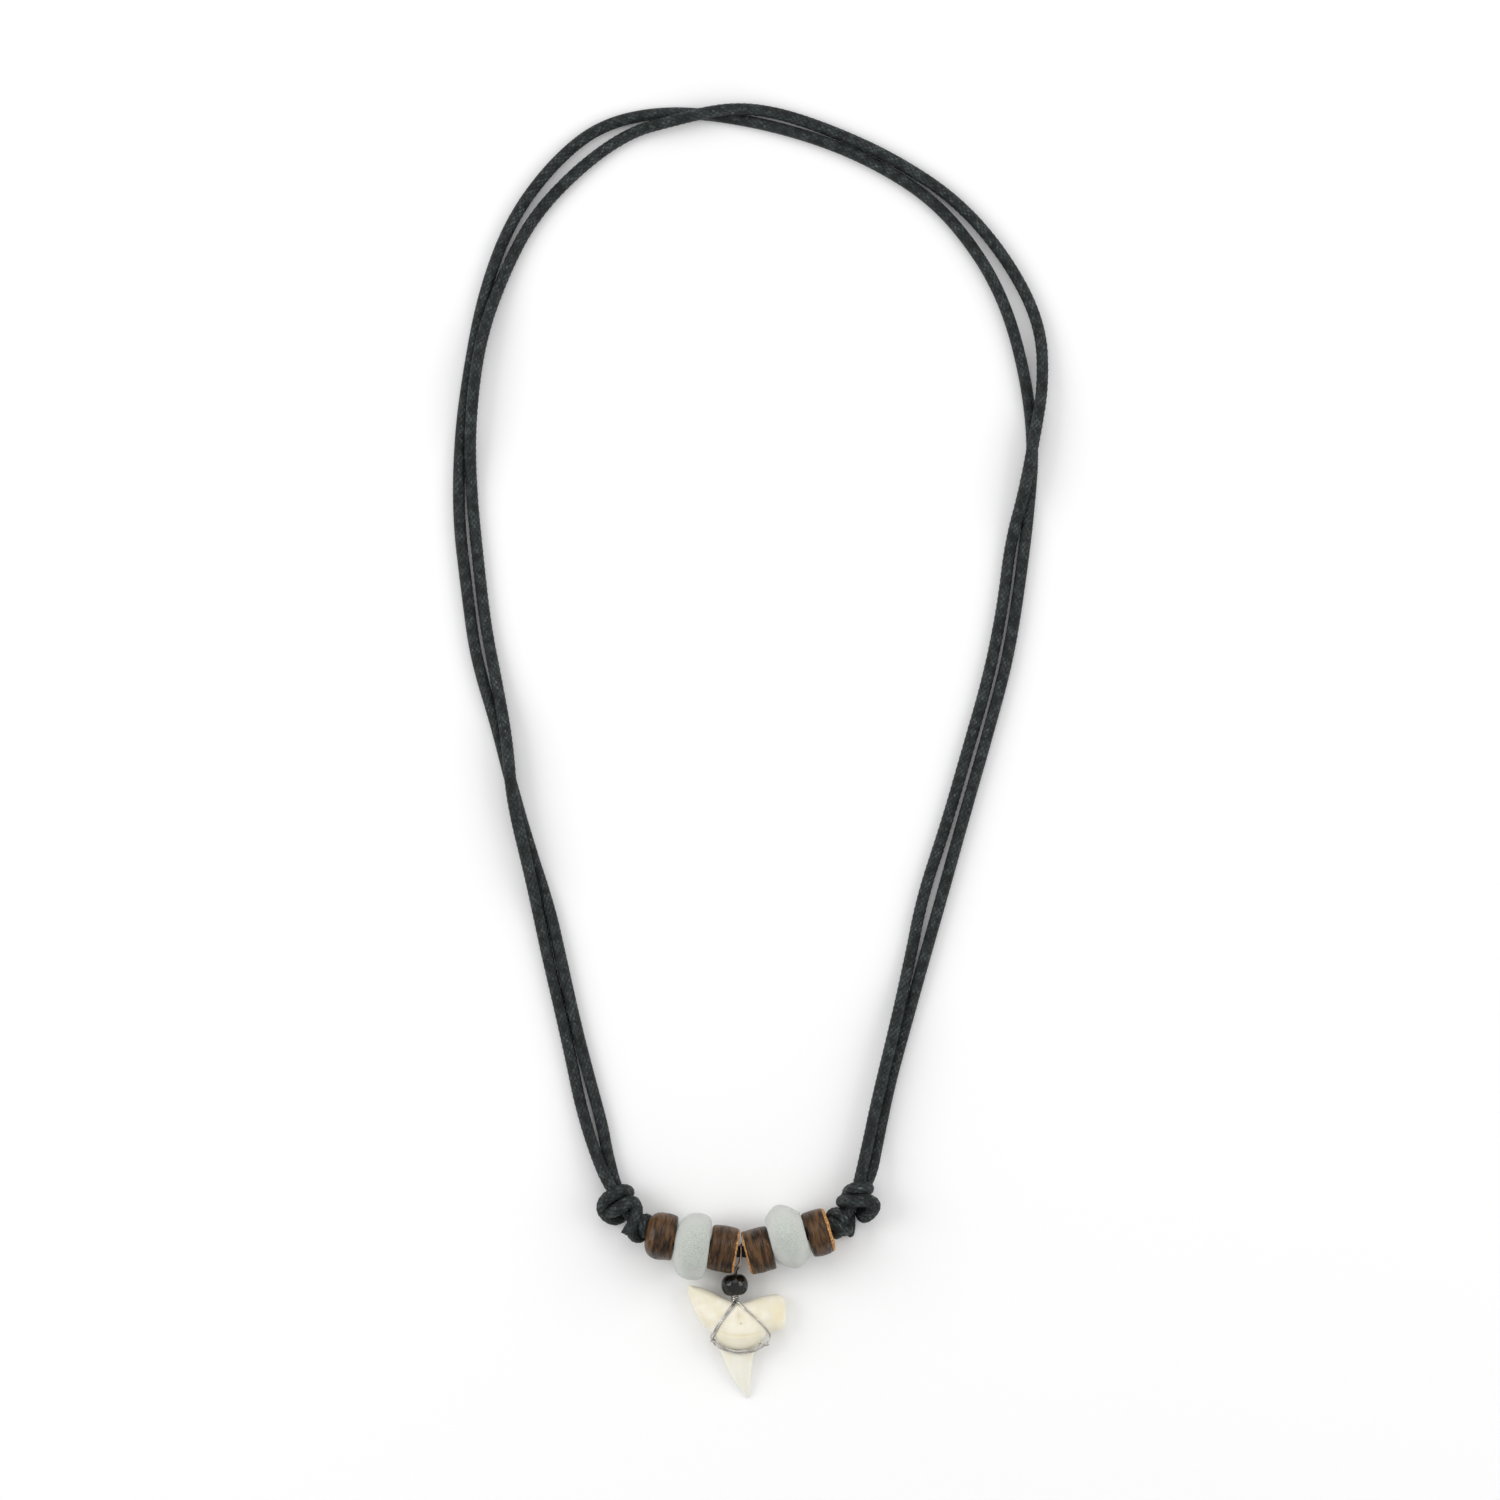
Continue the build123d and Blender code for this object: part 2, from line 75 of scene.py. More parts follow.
# The two strands round the neck. They are one black cotton cord, braided from sixteen yarns and waxed,
# doubled round the neck: each strand leaves a stopper knot, runs through the sliding knot next to it
# and ends in the sliding knot on the other side.
braid_width = 0.00206
cord_yarns = 8  # in each of the two windings
yarn_lay = 0.0085
yarn_depth = 0.00022
yarn_flatness = 3.2
yarn_lift = 0.32
cord_step = yarn_lay / cord_yarns / 5
cord_sides = cord_yarns * 4
cord_wander = 0.028
wander_length = 0.0042
cord_black = (0.006, 0.008, 0.0076, 1)
cord_bloom = (0.092, 0.110, 0.111, 1)
# Painted highlight: the colour of thin bright streaks on the yarn crowns
cord_painted_glint = (0.32, 0.36, 0.36, 1)
# The course of each strand, in millimetres
upper_route = [
    (-19.77, -93.38, 3.2), (-23.5, -88.3, 3.4), (-26.1, -82.2, 1.9), (-28.5, -74.4, 0.95),
    (-30.2, -66, 0.95), (-32.2, -57.2, 0.95), (-34.1, -49.2, 0.95), (-35.6, -42, 1.2), (-37.1, -34.9, 2.95),
    (-40, -23, 2.95), (-40.8, -13, 2.95), (-42.6, -3.2, 1.5), (-44.5, 6.4, 0.95), (-45.8, 17.8, 0.95),
    (-46.9, 29, 0.95), (-47.1, 40.2, 2.95), (-45.5, 54, 2.95), (-41.5, 65.4, 1.1), (-36.5, 75.1, 0.95),
    (-28.5, 83.5, 0.95), (-20.2, 89.3, 0.95), (-13.2, 91.1, 2.95), (-4.2, 93.3, 2.95), (3.6, 92.9, 0.95),
    (13.2, 89.8, 0.95), (24.4, 84.7, 0.95), (35.1, 77.6, 0.95), (43.4, 67.8, 0.95), (48.9, 57, 0.95),
    (49.3, 46.6, 2), (47.9, 38.6, 3), (46.2, 29.2, 2.95), (43.8, 20.2, 0.95), (42.6, 10, 0.95),
    (40.2, -2.2, 0.95), (36.6, -14.6, 0.95), (33, -27.2, 0.95), (29, -39.2, 0.95), (26.9, -49.8, 0.95),
    (24.4, -61, 2.7), (21.3, -73.6, 2.85), (19.7, -81.2, 3.1), (18.7, -85.6, 3.7),
]
lower_route = [
    (15.92, -92.73, 3.2), (20, -88, 3.1), (21.6, -79.8, 1.2), (23.4, -71, 0.95), (26, -61.6, 0.95),
    (29.2, -50, 0.95), (32.6, -38, 0.95), (36.2, -25, 0.95), (39.9, -12.2, 0.95), (43.4, 0.8, 0.95),
    (45.5, 14.2, 0.95), (46.9, 25.6, 0.95), (47.7, 36.6, 0.95), (46.4, 47.8, 0.95), (43.3, 59.6, 0.95),
    (38.4, 69, 0.95), (30.8, 78, 0.95), (20.2, 84.6, 0.95), (9.4, 88.9, 0.95), (-2.4, 91.7, 0.95),
    (-14.2, 92.9, 0.95), (-25.2, 90.6, 0.95), (-33.4, 83.8, 0.95), (-40.4, 74.2, 0.95), (-44.8, 62.2, 0.95),
    (-47.2, 49.8, 0.95), (-48.8, 37.8, 0.95), (-49.1, 24.6, 0.95), (-47.6, 12.2, 0.95), (-46.1, 0.8, 0.95),
    (-42.7, -10.2, 0.95), (-40.2, -20.2, 0.95), (-37.2, -30.6, 0.95), (-33.7, -41.2, 0.95),
    (-31.8, -49.8, 0.95), (-29.5, -60.2, 0.95), (-27, -69.8, 0.95), (-24.8, -77.8, 0.95),
    (-24.05, -82.4, 0.97), (-23.05, -86.2, 1.3),
]


def in_metres(places):
    """Places that are given in millimetres, to the hundredth of a micrometre."""
    return (np.array(places) / 1000).round(8).tolist()


def distance_along(line):
    """How far along a line each of its points is."""
    return np.r_[0, np.cumsum(np.linalg.norm(np.diff(line, axis=0), axis=1))]


def smooth_line(points, step):
    """The smooth line that a cord or wire takes: a NURBS line drawn towards each route point in turn,
    which starts and ends on the first and last, cut into equal steps."""
    curve = bpy.data.curves.new("route", "CURVE")
    curve.dimensions = "3D"
    spline = curve.splines.new("NURBS")
    spline.points.add(len(points) - 1)
    spline.points.foreach_set("co", np.c_[points, np.ones(len(points))].ravel())
    spline.order_u = 3
    spline.use_endpoint_u = True
    spline.resolution_u = 24
    holder = bpy.data.objects.new("route", curve)
    mesh = bpy.data.meshes.new_from_object(holder)
    line = np.array([vertex.co for vertex in mesh.vertices])
    bpy.data.batch_remove([holder, curve, mesh])
    far = distance_along(line)
    at = np.linspace(0, far[-1], int(round(far[-1] / step)) + 1)
    return np.stack([np.interp(at, far, line[:, k]) for k in range(3)], 1)


def rings_about(line, radius, side_first=(0.31, 0.27, 0.91)):
    """Rings of points about a line, one at each of its points. A direction square to the line is carried
    along it without twist, and each ring is that direction and the one square to both, as cosine and sine,
    times the radius given for each ring and each place round it."""
    way = np.gradient(line, axis=0)
    way /= np.linalg.norm(way, axis=1, keepdims=True)
    side = np.empty_like(way)
    carried = np.array(side_first)
    for i, ahead in enumerate(way):
        carried = carried - ahead * (carried @ ahead)
        carried /= np.linalg.norm(carried)
        side[i] = carried
    across = np.cross(way, side)
    turn = np.linspace(0, 2 * np.pi, radius.shape[1], endpoint=False)
    spoke = np.cos(turn)[None, :, None] * side[:, None] + np.sin(turn)[None, :, None] * across[:, None]
    return line[:, None] + radius[..., None] * spoke


def shell(name, grids, looped=False, maps=None, marks=None):
    """A closed surface from grids of points. Neighbouring points are joined in fours, and each row closes on
    itself. The rows close on each other where looped, and otherwise the first and last are each closed with
    one flat face or, where all their points are one, with a pole. Maps give two pattern measures at each
    point, with the first column again at the end, and marks give named measures for the finish."""
    points, faces, corners, start = [], [], [], 0
    for k, grid in enumerate(grids):
        rows, columns = grid.shape[:2]
        r, c = np.meshgrid(np.arange(rows if looped else rows - 1), np.arange(columns), indexing="ij")
        r, c = r.ravel(), c.ravel()
        r_next, c_next = (r + 1) % rows, (c + 1) % columns
        quads = [r * columns + c, r * columns + c_next, r_next * columns + c_next, r_next * columns + c]
        faces += (start + np.stack(quads, 1)).tolist()
        if maps is not None:
            m = maps[k]
            corners.append(np.stack([m[r, c], m[r, c + 1], m[r + 1, c + 1], m[r + 1, c]], 1).reshape(-1, 2))
        if not looped:
            ring = start + np.arange(columns)
            faces += [ring[::-1].tolist(), (ring + (rows - 1) * columns).tolist()]
            if maps is not None:
                corners += [maps[k][0, :-1][::-1], maps[k][-1, :-1]]
        points.append(grid.reshape(-1, 3))
        start += rows * columns
    mesh = bpy.data.meshes.new(name)
    mesh.from_pydata(np.concatenate(points), [], faces)
    if maps is not None:
        layer = mesh.uv_layers.new(name="pattern")
        layer.data.foreach_set("uv", np.concatenate(corners).ravel())
    for mark, values in (marks or {}).items():
        made = mesh.attributes.new(mark, "FLOAT", "POINT")
        made.data.foreach_set("value", np.concatenate([v.ravel() for v in values]))
    work = bmesh.new()
    work.from_mesh(mesh)
    bmesh.ops.remove_doubles(work, verts=work.verts, dist=1e-8)
    bmesh.ops.recalc_face_normals(work, faces=work.faces)
    for face in work.faces:
        face.smooth = len(face.verts) <= 4
    work.to_mesh(mesh)
    work.free()
    return in_scene(name, mesh)


def ripples(round_it, along_it, seed, waves, most_round, most_along):
    """A smooth unevenness: a sum of cosines with whole numbers of waves round the piece, so that it closes,
    any number along it, and each weaker as it is finer. Its size is about one."""
    dice = np.random.default_rng(seed)
    total = 0
    for _ in range(waves):
        about = dice.integers(0, most_round + 1)
        length = dice.uniform(-most_along, most_along)
        fine = 1 + (about / most_round) ** 2 + (length / most_along) ** 2
        total = total + np.cos(about * round_it + length * along_it + dice.uniform(0, 6.28)) / fine
    return total / np.sqrt(waves)


def braided(lines, width, seed, end_round=0.0, passed=0.0, side_first=(0.31, 0.27, 0.91)):
    """The grids, maps and marks of braided cord along lines. Counted in yarns, a place a round the cord and b
    along it lies on a left-wound yarn a + b and a right-wound yarn a - b. Each yarn is half round across its
    width, and lifts and dips in turn as the cosine of its count of the other winding. The cord's radius is
    least in the dips, swells and shrinks a little along and round it, and the last end is rounded off over
    the length given. Passed is the length of cord before the first point."""
    grids, maps, ridges, sides_up = [], [], [], []
    for line in lines:
        far = distance_along(line)
        a = cord_yarns * np.arange(cord_sides + 1)[None, :] / cord_sides
        b = cord_yarns * (far[:, None] + passed) / yarn_lay
        left, right = a + b, a - b
        left_yarn, right_yarn = np.round(left), np.round(right)
        left_lift = np.cos(np.pi * right) * np.cos(np.pi * left_yarn)
        right_lift = -np.cos(np.pi * left) * np.cos(np.pi * right_yarn)
        left_round = np.sqrt(1 - yarn_flatness * (left - left_yarn) ** 2)
        right_round = np.sqrt(1 - yarn_flatness * (right - right_yarn) ** 2)
        left_crown = left_round * (1 - yarn_lift + yarn_lift * left_lift)
        right_crown = right_round * (1 - yarn_lift + yarn_lift * right_lift)
        crown = np.maximum(left_crown, right_crown)
        ending = np.ones_like(b)
        if end_round:
            ending = np.sqrt(1 - np.clip(1 - (far[-1] - far[:, None]) / end_round, 0, 1) ** 2)
        turn, length = 2 * np.pi * a / cord_yarns, (far[:, None] + passed) / wander_length
        uneven = cord_wander * ripples(turn, length, seed, 24, 2, 1.0)
        radius = (width / 2 * (1 + uneven) - yarn_depth * (1 - crown)) * ending
        grids.append(rings_about(line, radius[:, :-1], side_first))
        maps.append(np.stack(np.broadcast_arrays(a, b), 2))
        ridges.append(crown[:, :-1])
        sides_up.append((left_crown > right_crown)[:, :-1].astype(float))
    return {"grids": grids, "maps": maps, "marks": {"ridge": ridges, "left_yarn": sides_up}}


def add_node(tree, kind, settings=None, **sockets):
    """A shader node with its settings, and its sockets each set to a value or joined to another node's."""
    made = tree.nodes.new(kind)
    for key, value in (settings or {}).items():
        setattr(made, key, value)
    for key, value in sockets.items():
        socket = made.inputs[int(key[1:])] if key[1:].isdigit() else made.inputs[key.replace("_", " ")]
        if isinstance(value, bpy.types.NodeSocket):
            tree.links.new(value, socket)
        else:
            socket.default_value = value
    return made


def math_of(operation, first, second=0.0):
    """The result of one step of arithmetic on two values, in the tree of the one that is a socket."""
    tree = (first if isinstance(first, bpy.types.NodeSocket) else second).id_data
    return add_node(tree, "ShaderNodeMath", {"operation": operation}, i0=first, i1=second).outputs[0]


def plus(first, second):
    """The sum of two values."""
    return math_of("ADD", first, second)


def minus(first, second):
    """The difference of two values."""
    return math_of("SUBTRACT", first, second)


def times(first, second):
    """The product of two values."""
    return math_of("MULTIPLY", first, second)


def blend_of(share, first, second):
    """A colour that goes from the first to the second as the share goes from nought to one."""
    mix = {"data_type": "RGBA"}
    return add_node(share.id_data, "ShaderNodeMix", mix, i0=share, i6=first, i7=second).outputs[2]


def stretched(value, low, high, to_low=0.0, to_high=1.0):
    """A value spread smoothly from one range to another and held at its ends."""
    spread = {"interpolation_type": "SMOOTHSTEP"}
    ends = {"i1": low, "i2": high, "i3": to_low, "i4": to_high}
    return add_node(value.id_data, "ShaderNodeMapRange", spread, i0=value, **ends).outputs[0]


def noise_of(vector, scale, detail=2.0, roughness=0.5, distortion=0.0):
    """A cloudy value about a half at each place."""
    grain = {"Scale": scale, "Detail": detail, "Roughness": roughness, "Distortion": distortion}
    return add_node(vector.id_data, "ShaderNodeTexNoise", Vector=vector, **grain).outputs[0]


def vector_of(x, y, z=0.0):
    """A vector from its three parts."""
    return add_node(x.id_data, "ShaderNodeCombineXYZ", X=x, Y=y, Z=z).outputs[0]


def parts_of(vector):
    """The three parts of a vector."""
    return add_node(vector.id_data, "ShaderNodeSeparateXYZ", i0=vector).outputs


def place_in(tree):
    """The place on the necklace, in metres."""
    return add_node(tree, "ShaderNodeTexCoord").outputs["Object"]


def pattern_in(tree):
    """The place on the mesh's own pattern."""
    return add_node(tree, "ShaderNodeUVMap", {"uv_map": "pattern"}).outputs[0]


def mark_of(tree, name):
    """A measure that the mesh carries at its points."""
    return add_node(tree, "ShaderNodeAttribute", {"attribute_name": name}).outputs["Fac"]


def bump_of(height, strength, distance):
    """The direction that a surface faces when it is raised and sunk by a height."""
    bump = add_node(height.id_data, "ShaderNodeBump", Strength=strength, Distance=distance, Height=height)
    return bump.outputs[0]


def mottling_group():
    """The node group for every uneven cover here, such as wax, frost, smears and tarnish: cloudy noise of
    the grain given, spread smoothly between two of its levels."""
    group = bpy.data.node_groups.new("mottling", "ShaderNodeTree")
    group.interface.new_socket("Place", in_out="INPUT", socket_type="NodeSocketVector")
    for name in ("Grain", "Detail", "Roughness", "From", "To", "Least", "Most"):
        group.interface.new_socket(name, in_out="INPUT", socket_type="NodeSocketFloat")
    group.interface.new_socket("Cover", in_out="OUTPUT", socket_type="NodeSocketFloat")
    given = group.nodes.new("NodeGroupInput").outputs
    cloud = noise_of(given["Place"], given["Grain"], given["Detail"], given["Roughness"])
    cover = stretched(cloud, given["From"], given["To"], given["Least"], given["Most"])
    group.links.new(cover, group.nodes.new("NodeGroupOutput").inputs["Cover"])
    return group


mottling = mottling_group()


def mottled(place, grain, detail, low, high, least=0.0, most=1.0, roughness=0.5):
    """The cover that the mottling group gives with these values."""
    values = {"Grain": grain, "Detail": detail, "Roughness": roughness, "From": low, "To": high}
    group = {"node_tree": mottling}
    made = add_node(place.id_data, "ShaderNodeGroup", group, Place=place, **values, Least=least, Most=most)
    return made.outputs["Cover"]


def new_finish(name):
    """An empty material with its shader, ready for its colours."""
    material = bpy.data.materials.new(name)
    material.use_nodes = True
    return material, material.node_tree, material.node_tree.nodes["Principled BSDF"]


def join_up(shader, **sources):
    """Joins node outputs to the shader's sockets."""
    for key, source in sources.items():
        shader.id_data.links.new(source, shader.inputs[key.replace("_", " ")])


def waxed_braid():
    """Black waxed cotton. The tops of the yarns carry a grey bloom of wax, some yarns more than others, and
    fine fibres run along each yarn: noise drawn out along whichever winding is on top. Thin bright streaks
    along the fibres on the highest crowns are a painted highlight."""
    material, tree, shader = new_finish("waxed_cord")
    a, b, _ = parts_of(pattern_in(tree))
    left, right = plus(a, b), minus(a, b)
    ridge = mark_of(tree, "ridge")
    left_up = mark_of(tree, "left_yarn")
    fine, drawn = 8.0, 1.3
    on_left = vector_of(times(left, fine), times(right, drawn))
    on_right = vector_of(times(right, fine), times(left, drawn), 4.0)
    along = add_node(tree, "ShaderNodeMix", {"data_type": "VECTOR"}, i0=left_up, i4=on_right, i5=on_left)
    fibre = noise_of(along.outputs[1], 1.0, 3.0, 0.6)
    yarn = vector_of(math_of("ROUND", left), math_of("ROUND", right), math_of("ROUND", left_up))
    dice = {"noise_dimensions": "3D"}
    each = add_node(tree, "ShaderNodeTexWhiteNoise", dice, Vector=yarn).outputs["Value"]
    patches = mottled(place_in(tree), 620.0, 3.0, 0.36, 0.64, 0.25, 1.3)
    top = stretched(ridge, 0.40, 0.9)
    streak = stretched(fibre, 0.42, 0.64)
    bloom = times(times(top, patches), stretched(each, 0.0, 1.0, 0.45, 1.0))
    bloom = times(bloom, plus(times(streak, 1.1), 0.06))
    # Painted highlight: bright fibre streaks on the highest yarn crowns, stronger on some yarns
    painted_glint = times(stretched(fibre, 0.57, 0.68), stretched(ridge, 0.6, 0.9))
    painted_glint = times(painted_glint, stretched(each, 0.25, 0.95))
    height = plus(times(fibre, 0.7), times(each, 0.3))
    join_up(
        shader,
        Base_Color=blend_of(times(painted_glint, 0.55), blend_of(bloom, cord_black, cord_bloom), cord_painted_glint),
        Roughness=stretched(bloom, 0.0, 0.8, 0.48, 0.66),
        Normal=bump_of(height, 0.8, 0.00016),
    )
    shader.inputs["Specular IOR Level"].default_value = 0.22
    return material


cord_finish = waxed_braid()
strands, strand_lines, last_sides = {}, {}, {}
for name, route, seed in (("upper_strand", upper_route, 101), ("lower_strand", lower_route, 102)):
    line = smooth_line(in_metres(route), cord_step)
    parts = braided([line], braid_width, seed)
    strand = shell(name + "_braid", **parts)
    strand.data.materials.append(cord_finish)
    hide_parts(name)
    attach(strand, "root")
    strand_lines[name] = line
    strands[name] = strand
    last_sides[name] = parts["grids"][0][-1, 0] - line[-1]

# The sliding knots. The end of one strand goes under the other, round it twice and out below with a short
# cut tail, so that pulling the strands apart slides the knot. The braid runs on from the strand and is
# looser in the knot. The left tail is frayed, the right one waxed to a blunt point.
knot_width = 0.0023
knot_widening = 0.003
tail_taper = 0.0011
taper_length = 0.005
tail_round = 0.0008
fray_inside = 0.0006
fray_droop = 0.0002
# The course of each knot from the strand's end on, in millimetres
knot_routes = {
    "left_slide_knot": [
        (-22.75, -87.35, 1.35), (-22.2, -89, 1.1), (-21.4, -91, 1.15), (-21.3, -92.9, 1.25),
        (-22.9, -93.6, 1.7), (-24.5, -92.5, 2.6), (-24.8, -91.1, 3.7), (-24, -89.8, 4.7),
        (-22.5, -88.9, 5.2), (-21.1, -88.5, 4.4), (-20.3, -88.9, 2.6), (-21.2, -89.7, 1.3),
        (-23.2, -90.7, 1.3), (-24, -91.8, 2.4), (-23.2, -92.2, 4.3), (-21.7, -91.3, 5.4), (-20.4, -90.3, 5),
        (-19.4, -90.6, 4.3), (-19, -91.8, 4.5), (-19.1, -93.1, 5), (-19.6, -94.3, 5), (-20.1, -95.3, 4.6),
    ],
    "right_slide_knot": [
        (18.46, -86.7, 3.84), (18.3, -87.8, 2.9), (18.3, -88.9, 1.5), (18.7, -90.1, 1.2),
        (19.2, -91.4, 1.2), (18.7, -92.8, 1.6), (19.3, -93.1, 2.4), (20.5, -92.1, 3.4), (21, -90.8, 4.6),
        (19.5, -90.1, 5.5), (17.7, -90.2, 5.5), (16.1, -90.3, 4.6), (15.3, -90.6, 2.8), (16.3, -90.1, 1.3),
        (18.3, -89.2, 1.2), (19.6, -88.6, 2), (19.8, -88.1, 3.9), (18.9, -88, 5.1), (17.9, -88.1, 5.3),
        (16.9, -88.5, 4.3), (16.5, -89, 2.6), (16.4, -90.5, 1.3), (16.7, -92.5, 1.2), (16.9, -94, 1.1),
        (17, -95.3, 1), (16.8, -96.6, 0.9),
    ],
}
knot_strands = {"left_slide_knot": ("lower_strand", 102), "right_slide_knot": ("upper_strand", 101)}
fray_count = 70
fray_length = 0.0012
fray_width = 0.00034
fray_steps, fray_sides = 14, 8
upward = np.array((0, 0, 1))


def frayed_end(line):
    """Loose yarns at a cut end. Each starts at its own place across the end, runs on in the line's direction,
    turns away from the middle in proportion to the square of the distance, and thins to its tip."""
    dice = np.random.default_rng(11)
    tip, way = line[-1], line[-1] - line[-4]
    way = way / np.linalg.norm(way)
    side = np.cross(way, upward)
    turn = dice.uniform(0, 2 * np.pi, fray_count)
    out = knot_width * 0.5 * np.sqrt(dice.uniform(0.02, 1, fray_count))
    reach = fray_length * dice.uniform(0.45, 1.0, fray_count)
    spread = dice.uniform(0.1, 0.7, fray_count)
    grids, ridges, sides_up, maps = [], [], [], []
    t = np.linspace(0, 1, fray_steps)
    for k in range(fray_count):
        aside = side * np.cos(turn[k]) + upward * np.sin(turn[k])
        path = tip + aside * out[k] - way * fray_inside + way * (t * (reach[k] + fray_inside))[:, None]
        path = path + (aside * spread[k] * reach[k] - upward * fray_droop) * (t**2)[:, None]
        path[:, 2] = np.maximum(path[:, 2], fray_width / 2 + 0.00002)
        radius = fray_width / 2 * np.sqrt(np.clip(1 - t**4, 0, 1))[:, None] * np.ones((1, fray_sides))
        grids.append(rings_about(path, radius))
        maps.append(np.stack(np.meshgrid(np.arange(fray_sides + 1) / fray_sides, k + t * 2), 2))
        ridges.append(np.full((fray_steps, fray_sides), 0.8))
        sides_up.append(np.full((fray_steps, fray_sides), float(k % 2)))
    return {"grids": grids, "maps": maps, "marks": {"ridge": ridges, "left_yarn": sides_up}}


for name, route in knot_routes.items():
    strand, seed = knot_strands[name]
    before, end = strand_lines[strand][-2:]
    straight_on = 2.5 * end - 1.5 * before
    line = smooth_line([end, straight_on, *in_metres(route)], cord_step)
    far = distance_along(line)[:, None]
    width = braid_width + (knot_width - braid_width) * np.clip(far / knot_widening, 0, 1)
    blunt = name == "right_slide_knot"
    if blunt:
        width = width - tail_taper * np.clip(1 - (far[-1] - far) / taper_length, 0, 1)
    passed = distance_along(strand_lines[strand])[-1]
    parts = braided([line], width, seed, tail_round if blunt else 0.0, passed, last_sides[strand])
    if not blunt:
        fray = frayed_end(line)
        parts["grids"] += fray["grids"]
        parts["maps"] += fray["maps"]
        for mark in parts["marks"]:
            parts["marks"][mark] += fray["marks"][mark]
    knot = shell(name + "_wraps", **parts)
    knot.data.materials.append(cord_finish)
    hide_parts(name)
    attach(knot, "root")

for name, held_by, start in (
    ("upper_strand", "right_slide_knot", in_metres(upper_route[0])),
    ("lower_strand", "left_slide_knot", in_metres(lower_route[0])),
):
    line = strand_lines[name]

# The stopper knots. Each is an overhand knot pulled tight in the cord beside the outermost bead, so that
# the beads stay together in the middle of the necklace.
stopper_places = {
    "left_stopper_knot": ((-0.01850, -0.09465, 0.0032), 162.0),
    "right_stopper_knot": ((0.01485, -0.09416, 0.0032), 20.0),
}
stopper_width = 0.0022
stopper_ring, stopper_turn, stopper_reach = 0.00112, 0.00068, 0.00105
for name, (middle, bearing) in stopper_places.items():
    t = np.linspace(0, 2 * np.pi, 160)
    out = stopper_ring + stopper_turn * np.cos(3 * t)
    bearing = np.radians(bearing)
    axis = np.array([np.cos(bearing), np.sin(bearing), 0])
    flat = np.cross(upward, axis)
    line = (
        np.array(middle)
        + out[:, None] * (np.cos(2 * t)[:, None] * flat + np.sin(2 * t)[:, None] * upward)
        + stopper_reach * np.sin(3 * t)[:, None] * axis
    )
    knot = shell(name + "_tied", **braided([line], stopper_width, 104))
    knot.data.materials.append(cord_finish)
    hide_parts(name)
    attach(knot, "root")

# The cord through the beads. It is the middle of the same cord, threaded through the six large beads and
# held at each end by a stopper knot; it shows only where the bail hangs.
# In millimetres
bead_cord_route = [
    (-18.5, -94.65, 3.2), (-16.8, -95.62, 3.74), (-14.98, -96.36, 4.3), (-9.78, -97.79, 5.32),
    (-4.5, -98.4, 4.65), (-1.5, -98.9, 4.5), (1.42, -98.58, 4.65), (6.34, -96.35, 5.22),
    (11.5, -95.53, 4.2), (12.86, -94.93, 3.76), (14.58, -94.16, 3.2),
]
line = smooth_line(in_metres(bead_cord_route), cord_step)
threaded = shell("bead_cord_braid", **braided([line], braid_width, 105))
threaded.data.materials.append(cord_finish)
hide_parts("bead_cord")
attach(threaded, "root")

# The coconut beads. They are cut from coconut shell with a tube saw, drilled, tumbled and lacquered: dark
# brown, with the shell's grain running round them, and raw tan shell at their cut ends.
coco_radius, coco_end_radius, coco_bore = 0.00395, 0.0037, 0.0017
shell_dark = (0.009, 0.0045, 0.0022, 1)
shell_brown = (0.128, 0.063, 0.024, 1)
shell_fleck = (0.34, 0.15, 0.055, 1)
shell_pit = (0.004, 0.0028, 0.002, 1)
shell_raw = (0.72, 0.39, 0.145, 1)
shell_raw_dark = (0.24, 0.095, 0.032, 1)
raw_fade = 0.0004
crack_count, crack_depth = 15, 0.00014
coco_sides = 160
rim_steps, crown_steps = 14, 44
# Columns: centre, axis, length, roundness of the outward and inward corners, raw rim at those ends, seed
coco_beads = {
    "left_outer_coco_bead": (
        (-0.01498, -0.09621, 0.00405), (-0.9835, 0.1734, -0.0523), 0.0049, 0.0019, 0.0004, 0.10, 0.05, 3,
    ),
    "left_inner_coco_bead": (
        (-0.0045, -0.0984, 0.0045), (-0.9859, 0.165, 0.0262), 0.0046, 0.0003, 0.00035, 0.05, 0.52, 5,
    ),
    "right_inner_coco_bead": (
        (0.00142, -0.09858, 0.0045), (0.9678, 0.2503, 0.0262), 0.0044, 0.0003, 0.00035, 0.05, 0.50, 8,
    ),
    "right_outer_coco_bead": (
        (0.0115, -0.09553, 0.00405), (0.955, 0.292, -0.0523), 0.0039, 0.00045, 0.0003, 0.7, 0.05, 13,
    ),
}


def turned(centre, axis, profile, steps, swell):
    """A bead turned about its axis. The profile is a closed loop of places along the axis and radii; swell
    gives what is added to both at each angle, and the grid runs round the bead, then along the profile."""
    centre, axis = np.array(centre), np.array(axis) / np.linalg.norm(axis)
    side = np.cross(axis, upward)
    side /= np.linalg.norm(side)
    lift = np.cross(side, axis)
    angle = np.linspace(0, 2 * np.pi, steps, endpoint=False)[:, None] - np.pi / 2
    along, radius = profile[:, 0][None, :], profile[:, 1][None, :]
    more_along, more_radius = swell(angle, along, radius)
    along, radius = along + more_along, radius + more_radius
    spoke = np.cos(angle)[..., None] * side + np.sin(angle)[..., None] * lift
    return centre + along[..., None] * axis + radius[..., None] * spoke


def bead_profile(half, bore, outline):
    """A closed loop round a bead's section: the outline from end to end, then back through the bore."""
    x, r = outline
    first = np.linspace((x[0], bore), (x[0], r[0]), 9)[:-1]
    last = np.linspace((x[-1], r[-1]), (x[-1], bore), 9)[1:]
    inside = np.linspace((x[-1], bore), (x[0], bore), 14)[1:-1]
    return np.concatenate([first, np.stack([x, r], 1), last, inside])


